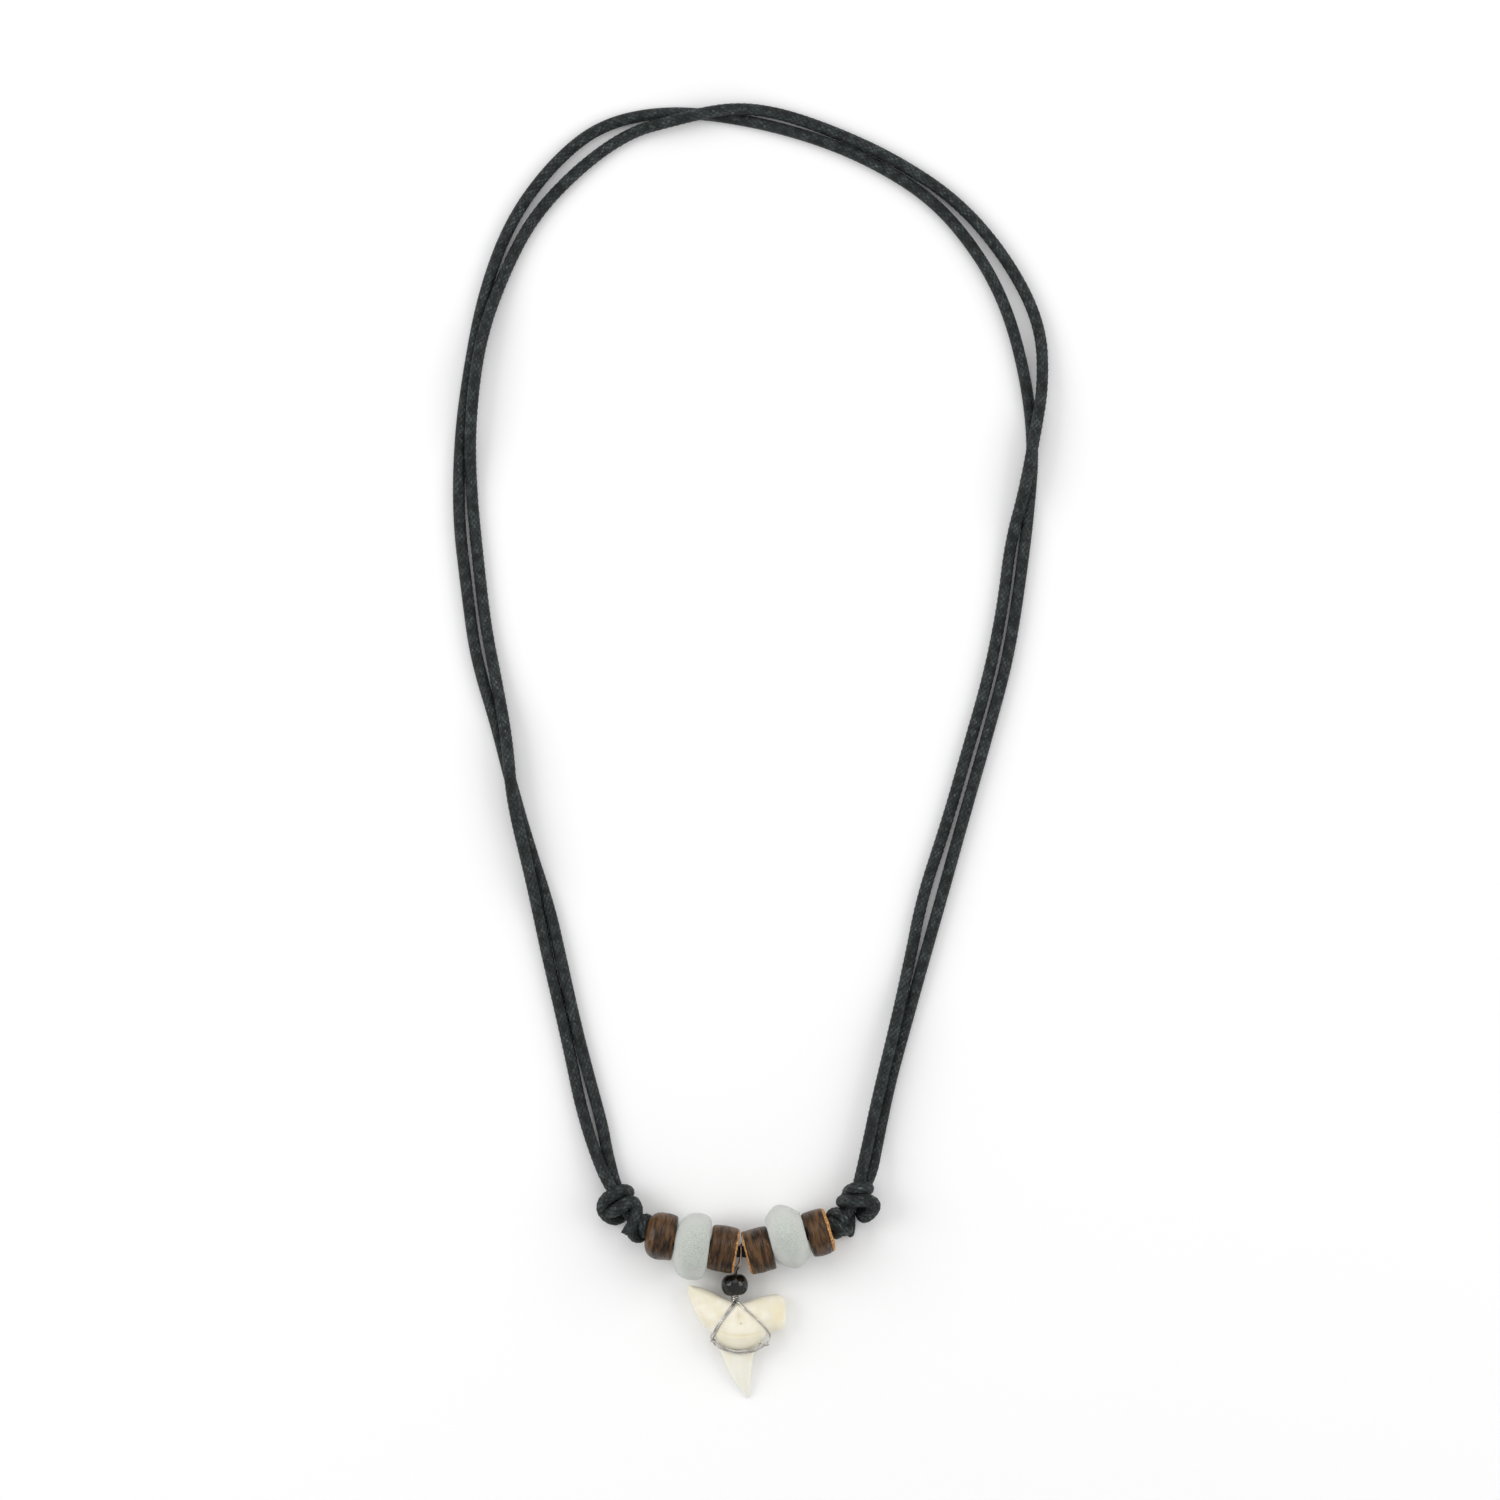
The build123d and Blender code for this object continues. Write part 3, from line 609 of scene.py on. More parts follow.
def mapped(vector, scale, location=(0, 0, 0)):
    """A place on a finer or drawn-out pattern: times the scale, and then moved by the location."""
    move = {"Location": location, "Scale": scale}
    return add_node(vector.id_data, "ShaderNodeMapping", Vector=vector, **move).outputs[0]


def coconut_shell():
    """Polished coconut shell. The grain runs round the bead, so noise is drawn out across the axis and
    crowded along it; tan flecks lie in the grain; cracks are black; raw tan shell shows where it is cut."""
    material, tree, shader = new_finish("coconut_shell")
    place = pattern_in(tree)
    broad = noise_of(mapped(place, (0.2, 0.85, 1)), 1.0, 3.0, 0.55, 0.8)
    grain = noise_of(mapped(place, (0.38, 3.0, 1)), 1.0, 4.0, 0.65, 0.7)
    fine = noise_of(mapped(place, (0.8, 6.0, 1)), 1.0, 3.0, 0.65, 0.4)
    fleck = mottled(mapped(place, (0.8, 4.2, 1), (3.3, 1.7, 0)), 1.0, 3.0, 0.62, 0.72, roughness=0.6)
    fleck = times(fleck, stretched(broad, 0.40, 0.60))
    spot = place_in(tree)
    speck = noise_of(spot, 3600.0, 4.0, 0.7)
    ragged = times(minus(noise_of(spot, 1300.0, 3.0), 0.5), 0.9)
    raw_edge = stretched(plus(mark_of(tree, "raw"), ragged), 0.42, 0.58)
    tone = plus(times(broad, 0.5), times(grain, 0.5))
    wood = blend_of(stretched(tone, 0.38, 0.64), shell_dark, shell_brown)
    wood = blend_of(times(fleck, 0.8), wood, shell_fleck)
    wood = blend_of(stretched(fine, 0.60, 0.70, 0.0, 0.8), wood, shell_pit)
    wood = blend_of(mark_of(tree, "crack"), wood, shell_pit)
    cut = blend_of(stretched(speck, 0.36, 0.62), shell_raw_dark, shell_raw)
    height = minus(times(grain, 0.5), times(fine, 0.6))
    height = plus(height, times(times(raw_edge, speck), 1.2))
    join_up(
        shader,
        Base_Color=blend_of(raw_edge, wood, cut),
        Roughness=plus(stretched(fine, 0.3, 0.7, 0.30, 0.5), times(raw_edge, 0.32)),
        Coat_Weight=minus(0.3, times(raw_edge, 0.3)),
        Normal=bump_of(height, 0.7, 0.00013),
    )
    shader.inputs["Coat Roughness"].default_value = 0.16
    shader.inputs["Specular IOR Level"].default_value = 0.12
    return material


def cracks(angle, along, seed, count):
    """Short cracks that follow the grain round a bead: for each, a narrow bell across it and a broad flat one
    along it, added up and held to one. Angles are measured the short way round."""
    dice = np.random.default_rng(seed)
    total = 0
    for _ in range(count):
        about, place = dice.uniform(0, 2 * np.pi), dice.uniform(-0.42, 0.42)
        reach, width, lean = dice.uniform(0.08, 0.34), dice.uniform(0.011, 0.02), dice.uniform(-0.06, 0.06)
        aside = (angle - about + np.pi) % (2 * np.pi) - np.pi
        total = total + np.exp(-((aside / reach) ** 4) - ((along - place - lean * aside) / width) ** 2)
    return np.clip(total, 0, 1)


coco_finish = coconut_shell()
for name, (centre, axis, length, out_round, in_round, out_raw, in_raw, seed) in coco_beads.items():
    half = length / 2
    bend = np.linspace(0, np.pi / 2, rim_steps)
    x_in = -half + in_round * (1 - np.sin(bend[::-1]))
    x_out = half - out_round * (1 - np.sin(bend))
    x = np.concatenate([x_in, np.linspace(x_in[-1], x_out[0], crown_steps + 2)[1:-1], x_out])
    crown = coco_end_radius + (coco_radius - coco_end_radius) * (1 - (x / half) ** 2)
    drop = np.zeros_like(x)
    drop[:rim_steps] = in_round * (1 - np.cos(bend[::-1]))
    drop[-rim_steps:] = out_round * (1 - np.cos(bend))
    profile = bead_profile(half, coco_bore, (x, crown - drop))

    def worn(angle, along, radius):
        """Flats and hollows left by the tube saw and the tumbling, more at the outside than in the bore,
        cut ends that aren't quite flat or square, and cracks along the grain."""
        outside = np.clip((radius - coco_bore) / (coco_radius - coco_bore), 0, 1)
        uneven = 0.00015 * ripples(angle, along / half * 2.2, seed, 9, 5, 1.0)
        grooves = 0.00005 * ripples(angle, along / half * 9, seed + 1, 14, 4, 1.0)
        ends = 0.00015 * ripples(angle, 0 * along, seed + 2, 8, 6, 1.0) * (np.abs(along) / half) ** 4
        split = crack_depth * cracks(angle, along / length, seed + 3, crack_count) * outside**8
        return ends * outside, (uneven + grooves) * outside - split

    grid = turned(centre, axis, profile, coco_sides, worn)
    angle = np.linspace(0, 2 * np.pi, coco_sides, endpoint=False)[:, None]
    x, r = profile[:, 0][None, :], profile[:, 1][None, :]
    round_it = np.linspace(0, 2 * np.pi, coco_sides + 1)[:, None] * 4 + seed * 11.0
    pattern = np.stack(np.broadcast_arrays(round_it, np.c_[x, x[:, :1]] * 1000), 2)
    bare = np.maximum(x - half + out_raw / 1000, -x - half + in_raw / 1000) / raw_fade
    split = cracks(angle - np.pi / 2, x / length, seed + 3, crack_count) * (r > coco_end_radius - 0.0006)
    bead = shell(
        name + "_turned",
        [grid],
        looped=True,
        maps=[pattern],
        marks={"raw": [np.clip(bare, 0, 1) + 0 * angle], "crack": [split]},
    )
    bead.data.materials.append(coco_finish)
    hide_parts(name)
    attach(bead, "root")

# The frosted glass beads. They are wound from pale green glass and etched all over to look like sea glass:
# the left one is domed outwards and flat inwards, the right one bevelled, and its crest leans.
glass_bore = 0.00195
glass_sides, glass_step = 128, 0.16
# Painted shade: over these heights the top of each glass bead is painted a darker green with more dim specks,
# standing in for the shade of the thick glass and of the cord seen through it
glass_shade_heights = (0.0086, 0.0112)
glass_pale = (0.92, 0.97, 0.895, 1)
glass_clear = (0.965, 0.99, 0.94, 1)
glass_top_shade = (0.61, 0.68, 0.595, 1)
glass_frost = (0.97, 0.98, 0.96, 1)
glass_dim_speck_shade = (0.42, 0.46, 0.42, 1)
# Columns: centre, axis, lean of the crest, seed, and the outline from one end to the other, as places along
# the axis and radii in millimetres
glass_beads = {
    "left_glass_bead": (
        (-0.00978, -0.09789, 0.00557), (-0.9925, 0.1219, 0.0), -0.00015, 21,
        [
            (-2.72, 1.95), (-2.84, 2.9), (-2.96, 4.15), (-2.62, 5.05), (-1.7, 5.6), (-0.6, 5.68),
            (0.5, 5.6), (1.4, 5.15), (2.15, 4.4), (2.75, 3.1), (2.95, 1.95),
        ],
    ),
    "right_glass_bead": (
        (0.00634, -0.0962, 0.00542), (0.9659, 0.2588, 0.0), 0.00045, 34,
        [
            (-3.0, 1.95), (-3.05, 3.0), (-2.98, 3.65), (-2.2, 4.3), (-1.3, 5.1), (-0.5, 5.45), (0.5, 5.45),
            (1.3, 5.1), (2.2, 4.3), (2.98, 3.65), (3.05, 3.0), (3.0, 1.95),
        ],
    ),
}


def etched_glass():
    """Etched glass. It glows with the light that goes through it, its skin is dull and full of fine pits,
    and pale and dim specks lie in it. Its top is painted a darker green, and the dim specks are painted
    thicker towards its top: painted shade of the thick glass and of the cord seen through it."""
    material, tree, shader = new_finish("frosted_glass")
    spot = place_in(tree)
    pits = noise_of(spot, 5200.0, 3.0, 0.65)
    height = parts_of(spot)[2]
    tint = blend_of(mottled(spot, 700.0, 2.0, 0.3, 0.7), glass_pale, glass_clear)
    # Painted shade: the bead's top is blended towards a darker green
    tint = blend_of(times(stretched(height, *glass_shade_heights), 0.65), tint, glass_top_shade)
    tint = blend_of(mottled(spot, 4300.0, 2.0, 0.52, 0.64, 0.0, 0.8, 0.6), tint, glass_frost)
    # The dim specks are frost, painted thicker towards the top as shade of the thick glass and the cord
    # inside
    dim = mottled(spot, 4700.0, 2.0, 0.49, 0.66, 0.0, 0.7, 0.7)
    tint = blend_of(times(dim, stretched(height, *glass_shade_heights, 0.3, 1.0)), tint, glass_dim_speck_shade)
    join_up(
        shader,
        Base_Color=tint,
        Roughness=stretched(pits, 0.3, 0.7, 0.46, 0.62),
        Normal=bump_of(pits, 0.8, 0.0001),
    )
    shader.inputs["Transmission Weight"].default_value = 0.5
    shader.inputs["IOR"].default_value = 1.46
    shader.inputs["Subsurface Weight"].default_value = 0.6
    shader.inputs["Subsurface Radius"].default_value = (0.0034, 0.0036, 0.0034)
    shader.inputs["Subsurface Scale"].default_value = 1.0
    return material


glass_finish = etched_glass()
for name, (centre, axis, lean, seed, corners) in glass_beads.items():
    outline = smooth_line([(along, out, 0) for along, out in corners], glass_step) / 1000
    half, radius = np.abs(outline[:, 0]).max(), outline[:, 1].max()
    profile = bead_profile(half, glass_bore, (outline[:, 0], outline[:, 1]))

    def wound(angle, along, distance):
        """The slight wander and swelling of a bead wound by hand, and the lean of its crest to one side."""
        outside = np.clip((distance - glass_bore) / (radius - glass_bore), 0, 1)
        swollen = 0.00007 * ripples(angle, along / half, seed + 1, 7, 4, 1.0)
        swollen = swollen + lean * along / half * np.cos(angle)
        return 0.00009 * ripples(angle, 0 * along, seed, 4, 3, 1.0) * outside, swollen * outside

    bead = shell(name + "_wound", [turned(centre, axis, profile, glass_sides, wound)], looped=True)
    bead.data.materials.append(glass_finish)
    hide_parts(name)
    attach(bead, "root")

# The black bead. A small pressed glass bead with a glossy skin, threaded on the two legs of the bail just
# above the tooth.
drop_centre = np.array((-0.002595, -0.104492, 0.0026))
hang_way = np.array((-0.094118, 0.995561, 0.0))
drop_radius, drop_half, drop_rim, drop_bore = 0.00225, 0.00175, 0.00095, 0.00065
drop_sides, drop_steps = 96, 60
drop_black = (0.003, 0.0035, 0.003, 1)
drop_smear = (0.009, 0.0095, 0.008, 1)
bend = np.linspace(-np.pi / 2, np.pi / 2, drop_steps)
x = drop_half * np.sin(bend)
r = drop_rim + (drop_radius - drop_rim) * np.cos(bend)
profile = bead_profile(drop_half, drop_bore, (x, r))


def pressed(angle, along, distance):
    """A trace of unevenness, as a pressed bead has."""
    return 0 * angle * along, 0.00003 * ripples(angle, along / drop_half, 55, 6, 3, 1.2) + 0 * along


def black_glass():
    """Black glass, mirror-smooth but for a faint orange-peel of the press and a few dull smears."""
    material, tree, shader = new_finish("black_glass")
    spot = place_in(tree)
    smear = mottled(spot, 900.0, 3.0, 0.36, 0.74)
    join_up(
        shader,
        Base_Color=blend_of(smear, drop_black, drop_smear),
        Roughness=stretched(smear, 0.0, 1.0, 0.11, 0.24),
        Normal=bump_of(noise_of(spot, 1500.0, 2.0), 0.12, 0.00005),
    )
    return material


drop = shell("black_bead_pressed", [turned(drop_centre, hang_way, profile, drop_sides, pressed)], looped=True)
drop.data.materials.append(black_glass())
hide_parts("black_bead")
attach(drop, "root")

# The shark tooth. A two-lobed root of porous ivory, rounded below into a bulge, and a smooth slightly
# curved blade that comes out from under it. It lies on its flatter face.
tooth_place = np.array((-0.00168, -0.11122, 0.0))
# Root columns, in millimetres from the middle of the tooth: across, low edge, high edge, back, front
root_rows = [
    (-8.70, 5.5, 6.45, 1.6, 2.5), (-8.52, 4.65, 6.66, 1.1, 2.95), (-8.22, 3.85, 6.68, 0.75, 3.25),
    (-7.56, 2.35, 6.52, 0.45, 3.6), (-6.72, 0.86, 6.32, 0.25, 3.9), (-6.13, 0.0, 6.12, 0.18, 4.05),
    (-5.2, -0.75, 5.7, 0.2, 4.25), (-4.4, -1.75, 5.33, 0.25, 4.4), (-3.5, -2.95, 4.86, 0.35, 4.6),
    (-2.4, -3.75, 4.35, 0.5, 4.8), (-1.3, -4.15, 3.9, 0.55, 4.93), (-0.3, -4.27, 3.7, 0.55, 5.0),
    (0.6, -4.22, 3.75, 0.55, 4.98), (1.8, -3.95, 4.1, 0.5, 4.88), (2.9, -3.4, 4.52, 0.4, 4.7),
    (3.8, -2.55, 4.78, 0.3, 4.5), (4.6, -1.65, 4.98, 0.22, 4.3), (5.45, -1.16, 5.14, 0.2, 4.05),
    (6.2, -1.02, 5.14, 0.3, 3.75), (6.8, -0.93, 4.97, 0.48, 3.4), (7.2, -0.73, 4.7, 0.72, 3.1),
    (7.48, -0.35, 4.22, 1.0, 2.82), (7.65, 0.3, 3.6, 1.3, 2.52), (7.73, 1.1, 2.75, 1.65, 2.2),
]
# Blade rows: along, left edge, right edge, height of both edges, back face, front face
blade_rows = [
    (1.2, -3.3, 3.3, 2.1, 0.9, 3.3), (-1.0, -4.0, 3.6, 2.0, 0.85, 3.6), (-2.2, -4.15, 3.4, 1.9, 0.8, 3.65),
    (-3.7, -3.6, 2.78, 1.75, 0.75, 3.5), (-5.0, -3.05, 2.3, 1.6, 0.7, 3.25),
    (-6.22, -2.52, 2.1, 1.45, 0.6, 3.0), (-8.06, -1.7, 1.88, 1.15, 0.5, 2.4),
    (-9.41, -0.9, 1.8, 0.9, 0.4, 1.9), (-10.58, -0.06, 1.74, 0.65, 0.25, 1.35),
    (-11.5, 0.55, 1.68, 0.4, 0.15, 0.85), (-12.0, 0.85, 1.56, 0.28, 0.1, 0.5),
    (-12.35, 1.1, 1.4, 0.2, 0.12, 0.28),
]
root_round_across, root_round_up = 0.86, 0.80
blade_round_across, blade_round_up = 0.94, 1.25
fold_low, fold_bow = 1.75, 0.055
tooth_sides, root_steps, blade_steps = 128, 190, 170
root_ivory = (0.84, 0.785, 0.62, 1)
root_pale = (0.905, 0.865, 0.735, 1)
root_yellow = (0.90, 0.80, 0.55, 1)
# Painted shade: the darker cream of the bulge below the fold line
root_bulge_shade = (0.79, 0.74, 0.575, 1)
root_fold = (0.84, 0.70, 0.43, 1)
root_seam = (0.72, 0.60, 0.40, 1)
root_dot = (0.50, 0.37, 0.20, 1)
root_pore = (0.62, 0.54, 0.40, 1)
blade_white = (0.895, 0.87, 0.745, 1)
blade_lines = (0.90, 0.885, 0.805, 1)
blade_neck = (0.80, 0.73, 0.57, 1)


def between_rows(rows, count):
    """The rows' values at even steps from first to last, along a smooth curve through all rows: at each row
    the slope is that of its neighbours, and between rows the two slopes are blended by cubes."""
    rows = np.array(rows)
    slope = np.gradient(rows, axis=0)
    at = (np.linspace(0, 1, count) * (len(rows) - 1)).clip(0, len(rows) - 1.000001)
    i = at.astype(int)
    u = (at - i)[:, None]
    start = (2 * u**3 - 3 * u**2 + 1) * rows[i] + (u**3 - 2 * u**2 + u) * slope[i]
    return start + (3 * u**2 - 2 * u**3) * rows[i + 1] + (u**3 - u**2) * slope[i + 1]


def power_of(value, power):
    """The sign of a value times its size raised to a power."""
    return np.sign(value) * np.abs(value) ** power


turn = np.linspace(0, 2 * np.pi, tooth_sides, endpoint=False)[None, :]
across, low, high, back, front = between_rows(root_rows, root_steps).T[:, :, None]
y = (low + high) / 2 + (high - low) / 2 * power_of(np.cos(turn), root_round_across)
z = (back + front) / 2 + (front - back) / 2 * power_of(np.sin(turn), root_round_up)
x = across + 0 * turn
on_top = np.clip(np.sin(turn), 0, 1)
furrow = 0.26 * np.exp(-(((x + 0.15) / 0.3) ** 2) - ((y - 1.7) / 1.5) ** 2) * on_top
pit = 0.22 * np.exp(-(((x - 0.17) / 0.18) ** 2) - ((y - 0.34) / 0.2) ** 2) * on_top
fold = 0.10 * np.exp(-(((y + fold_low - fold_bow * x**2) / 0.22) ** 2) - (x / 3.2) ** 4) * on_top
dents = 0.05 * ripples(turn, x * 0.7, 71, 16, 4, 2.0)
z = z - furrow - pit - fold + dents * np.clip((front - back) / 3, 0, 1)
poles = np.array([[-8.76, 6.05, 2.05], [7.76, 1.9, 1.95]])
root_grid = np.stack(np.broadcast_arrays(x, y, z), 2)
first_pole, last_pole = (np.tile(pole, (1, tooth_sides, 1)) for pole in poles)
root_grid = np.concatenate([first_pole, root_grid, last_pole])
root_grid[..., 2] = np.maximum(root_grid[..., 2], 0.12)

along, left, right, edge, back, front = between_rows(blade_rows, blade_steps).T[:, :, None]
bow = np.abs(np.sin(turn))
x = (left + right) / 2 + (right - left) / 2 * power_of(np.cos(turn), blade_round_across)
z = edge + np.where(np.sin(turn) > 0, front - edge, back - edge) * bow**blade_round_up
z = z + 0.012 * ripples(turn, along * 0.5, 91, 12, 5, 1.0) * bow
blade_grid = np.stack(np.broadcast_arrays(x, along + 0 * x, z), 2)
tip = np.array([1.26, -12.42, 0.2])
blade_grid = np.concatenate([blade_grid, np.tile(tip, (1, tooth_sides, 1))])


def far_from(place, middle, scale):
    """How far a place is from the middle of a spot, counted in the spot's own sizes."""
    location = tuple(-m * s for m, s in zip(middle, scale))
    away = mapped(place, scale, location)
    return add_node(place.id_data, "ShaderNodeVectorMath", {"operation": "LENGTH"}, i0=away).outputs["Value"]


def tooth_ivory():
    """Root and blade of a tooth. The root is cream, with yellower patches, fine pores and a warm line where
    the blade's neck shows through; the blade is whiter and glossier, with faint lines down its length."""
    material, tree, shader = new_finish("tooth_enamel")
    at = mapped(place_in(tree), (1000, 1000, 1000), tuple(-1000 * tooth_place))
    across, along, _ = parts_of(at)
    blade = mark_of(tree, "blade")
    clouds = noise_of(at, 0.45, 3.0, 0.55, 0.6)
    pores = noise_of(at, 4.5, 4.0, 0.65)
    cream = blend_of(mottled(at, 0.45, 3.0, 0.35, 0.65, roughness=0.55), root_ivory, root_pale)
    patch = plus(far_from(at, (6.5, 2.0, 0), (0.8, 0.45, 0.1)), times(clouds, 0.8))
    cream = blend_of(stretched(patch, 0.7, 1.7, 0.8, 0.0), cream, root_yellow)
    above = minus(plus(along, fold_low), times(times(across, across), fold_bow))
    # Painted shade: below the fold line, in the middle of the root, the bulge is made darker
    below = stretched(above, -0.6, 0.2, 0.55, 0.0)
    middle = stretched(math_of("ABSOLUTE", across), 3.2, 4.4, 1.0, 0.0)
    cream = blend_of(times(below, middle), cream, root_bulge_shade)
    fold_line = stretched(math_of("ABSOLUTE", above), 0.0, 0.5, 0.4, 0.0)
    cream = blend_of(times(fold_line, middle), cream, root_fold)
    seam = plus(far_from(at, (-0.5 / 3.4, 1.7, 0), (3.4, 3.0, 0.1)), pores)
    cream = blend_of(stretched(seam, 0.9, 4.2, 0.55, 0.0), cream, root_seam)
    dot = far_from(at, (0.17, 0.34, 0), (5.0, 5.0, 0.1))
    cream = blend_of(stretched(dot, 0.3, 1.7, 0.65, 0.0), cream, root_dot)
    cream = blend_of(mottled(at, 4.5, 4.0, 0.58, 0.75, 0.0, 0.35, 0.65), cream, root_pore)
    lines = noise_of(mapped(at, (1.6, 0.22, 0.6)), 1.0, 3.0, 0.5, 0.3)
    white = blend_of(stretched(lines, 0.35, 0.7), blade_white, blade_lines)
    white = blend_of(stretched(along, -7.0, -4.2, 0.0, 0.4), white, blade_neck)
    join_up(
        shader,
        Base_Color=blend_of(blade, cream, white),
        Roughness=minus(stretched(pores, 0.3, 0.7, 0.40, 0.55), times(blade, 0.14)),
        Normal=bump_of(blend_of(blade, pores, times(lines, 0.2)), 0.35, 0.00008),
    )
    shader.inputs["Subsurface Weight"].default_value = 0.25
    shader.inputs["Subsurface Radius"].default_value = (0.0012, 0.0009, 0.0006)
    shader.inputs["Subsurface Scale"].default_value = 1.0
    return material


tooth = shell(
    "shark_tooth_carved",
    [tooth_place + root_grid / 1000, tooth_place + blade_grid / 1000],
    marks={"blade": [np.zeros(root_grid.shape[:2]), np.ones(blade_grid.shape[:2])]},
)
tooth.data.materials.append(tooth_ivory())
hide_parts("shark_tooth")
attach(tooth, "root")

# The wire. One length of 0.32 mm silver-coloured wire: a bail over the cord, two legs down through the black
# bead, a few close turns under it, then one end round over the root and under its bulge, and the other
# down beside it, behind the tooth and back across the front, where it hooks round the first.
wire_width = 0.00032
wire_step, wire_sides = 0.12, 12
wire_bright = (0.68, 0.66, 0.63, 1)
wire_dull = (0.40, 0.38, 0.35, 1)
front_side = 2.2  # above this height the wire stays in front of the root
on_root = 0.0  # a height to be found from the root's front
wire_routes = {
    "bail": [
        (-0.97, 4.54, 2.6), (-1.37, 8.9, 2.6), (-0.07, 10.32, 3.6), (0.18, 12.32, 3.0), (0.18, 13.92, 4.2),
        (0.18, 13.57, 5.85), (0.18, 11.42, 5.95), (-0.17, 9.72, 4.6), (-0.87, 8.9, 2.6), (-0.63, 4.54, 2.6),
    ],
    "first_round": [
        (-0.50, 4.5, 2.6), (-0.45, 4.05, 3.6), (-0.95, 3.3, on_root), (-1.75, 2.4, on_root),
        (-2.75, 1.2, on_root), (-3.35, 0.3, on_root), (-4.05, -1.0, on_root), (-4.55, -2.15, 3.2),
        (-4.40, -3.25, 2.9), (-3.40, -3.85, 3.35), (-1.9, -4.42, 3.6), (0.0, -4.76, 3.65),
        (2.1, -4.46, 3.6), (3.4, -3.93, 3.3), (4.45, -3.15, 3.0), (5.1, -2.1, 2.9), (4.95, -1.3, on_root),
        (4.2, -0.3, on_root), (3.4, 0.6, on_root), (2.3, 1.6, on_root), (1.2, 2.5, on_root),
        (0.2, 3.4, on_root), (-0.45, 4.02, 3.85), (-1.0, 4.5, 2.7),
    ],
    "second_round": [
        (-0.8, 4.6, 2.6), (-0.75, 4.1, 3.5), (-1.25, 3.4, on_root), (-2.08, 2.38, on_root),
        (-3.08, 1.15, on_root), (-3.7, 0.2, on_root), (-4.45, -1.1, on_root), (-5.0, -2.0, 2.5),
        (-4.75, -2.55, 0.7), (-3.0, -3.0, 0.22), (0.0, -3.2, 0.22), (3.0, -3.15, 0.22), (4.3, -3.5, 0.7),
        (4.95, -3.4, 2.3), (4.5, -3.0, 3.7), (3.7, -3.1, 3.8), (2.9, -3.6, 3.8), (1.7, -4.12, 3.95),
        (0.15, -4.4, 4.0), (-1.2, -4.3, 4.0), (-2.6, -3.8, 3.8), (-3.6, -3.15, 3.7), (-4.45, -2.6, 3.6),
        (-5.05, -2.65, 2.7), (-4.7, -2.85, 1.7),
    ],
}
coil_turns, coil_radius, coil_pitch, coil_lean = 2.7, 0.00051, 0.00036, 0.45
coil_start = np.array((-0.00080, 0.00412, 0.0026))


def front_of_root(x, y):
    """How high the front of the root stands at each place, from the root's rows and the roundness of its
    sections, or nought beside the root."""
    rows = np.array(root_rows)
    low, high, back, front = (np.interp(x, rows[:, 0], rows[:, k]) for k in range(1, 5))
    beside = np.minimum(np.abs((2 * y - low - high) / (high - low)), 1)
    rise = (1 - beside ** (2 / root_round_across)) ** (root_round_up / 2)
    return np.where(beside < 1, (back + front) / 2 + (front - back) / 2 * rise, 0)


def drawn_wire():
    """Bright drawn wire, with faint draw marks and a little tarnish in patches."""
    material, tree, shader = new_finish("silver_wire")
    spot = place_in(tree)
    tarnish = mottled(spot, 600.0, 3.0, 0.36, 0.73)
    join_up(
        shader,
        Base_Color=blend_of(tarnish, wire_bright, wire_dull),
        Roughness=stretched(tarnish, 0.0, 1.0, 0.14, 0.30),
        Normal=bump_of(noise_of(spot, 3500.0, 2.0), 0.15, 0.00003),
    )
    shader.inputs["Metallic"].default_value = 1.0
    return material


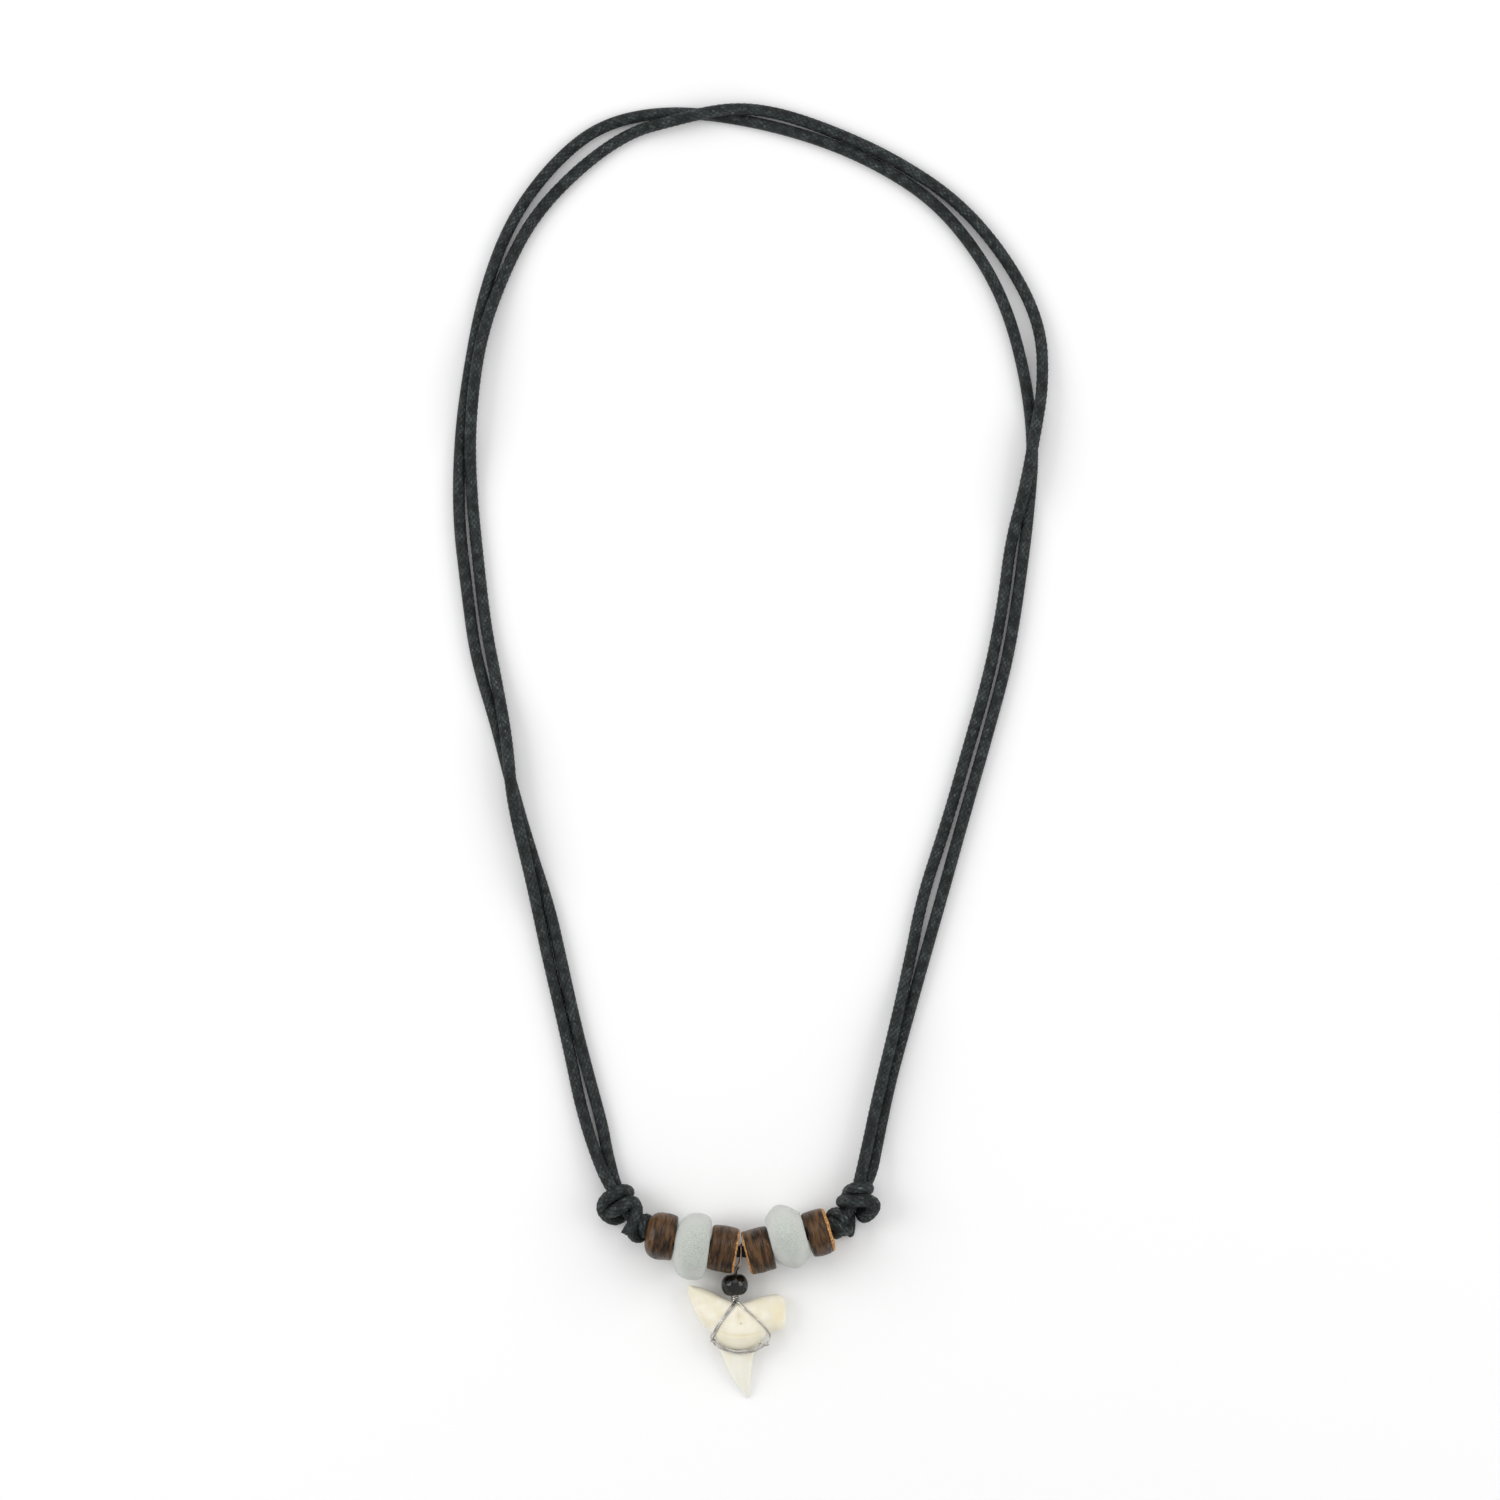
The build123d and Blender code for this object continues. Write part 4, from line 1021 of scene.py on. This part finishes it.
half_wire = wire_width * 500
wire_grids = []
for route in wire_routes.values():
    route = np.array(route)
    lifted = front_of_root(route[:, 0], route[:, 1]) + half_wire
    route[:, 2] = np.where(route[:, 2] == on_root, lifted, route[:, 2])
    line = smooth_line(route, wire_step)
    lifted = front_of_root(line[:, 0], line[:, 1]) + half_wire
    line[:, 2] = np.where(line[:, 2] > front_side, np.maximum(line[:, 2], lifted), line[:, 2])
    line = tooth_place + line / 1000
    wire_grids.append(rings_about(line, np.full((len(line), wire_sides), wire_width / 2)))
t = np.linspace(0, coil_turns * 2 * np.pi, 140)
leaning = np.cross(hang_way, upward) + coil_lean * hang_way
coil = (
    tooth_place
    + coil_start
    + hang_way * (t / 2 / np.pi * coil_pitch)[:, None]
    + coil_radius * (np.cos(t)[:, None] * leaning + np.sin(t)[:, None] * upward)
)
wire_grids.append(rings_about(coil, np.full((len(coil), wire_sides), wire_width / 2)))
wire = shell("pendant_wire_bent", wire_grids)
wire.data.materials.append(drawn_wire())
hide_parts("pendant_wire")
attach(wire, "root")

# The table and the light. A white table top, a bright even room, two large soft lights low at the sides and
# a third high beyond the far end of the necklace.
table_mesh = bpy.data.meshes.new("table_top")
table_corners = [(-2, -2, -0.0001), (2, -2, -0.0001), (2, 2, -0.0001), (-2, 2, -0.0001)]
table_mesh.from_pydata(table_corners, [], [(0, 1, 2, 3)])
table_top = in_scene("table_top", table_mesh)
pale, tree, shader = new_finish("pale_table")
shader.inputs["Base Color"].default_value = (0.97, 0.97, 0.97, 1)
shader.inputs["Roughness"].default_value = 0.9
table_mesh.materials.append(pale)

room = bpy.data.worlds.new("room")
room.use_nodes = True
room.node_tree.nodes["Background"].inputs[0].default_value = (1, 1, 1, 1)
room.node_tree.nodes["Background"].inputs[1].default_value = 0.62
bpy.context.scene.world = room
for name, place, size, power in (
    ("left_window", (-0.64, 0.1, 0.46), 0.5, 2.4),
    ("right_window", (0.64, 0.1, 0.46), 0.5, 1.8),
    ("overhead", (0.0, 0.65, 0.95), 0.8, 1.8),
):
    lamp = bpy.data.lights.new(name, "AREA")
    lamp.shape = "SQUARE"
    lamp.size = size
    lamp.energy = power
    light = in_scene(name, lamp)
    light.location = place
    aim = np.array((0, -0.04, 0)) - np.array(place)
    light.rotation_euler = (
        np.arccos(-aim[2] / np.linalg.norm(aim)), 0, np.arctan2(aim[1], aim[0]) - np.pi / 2
    )
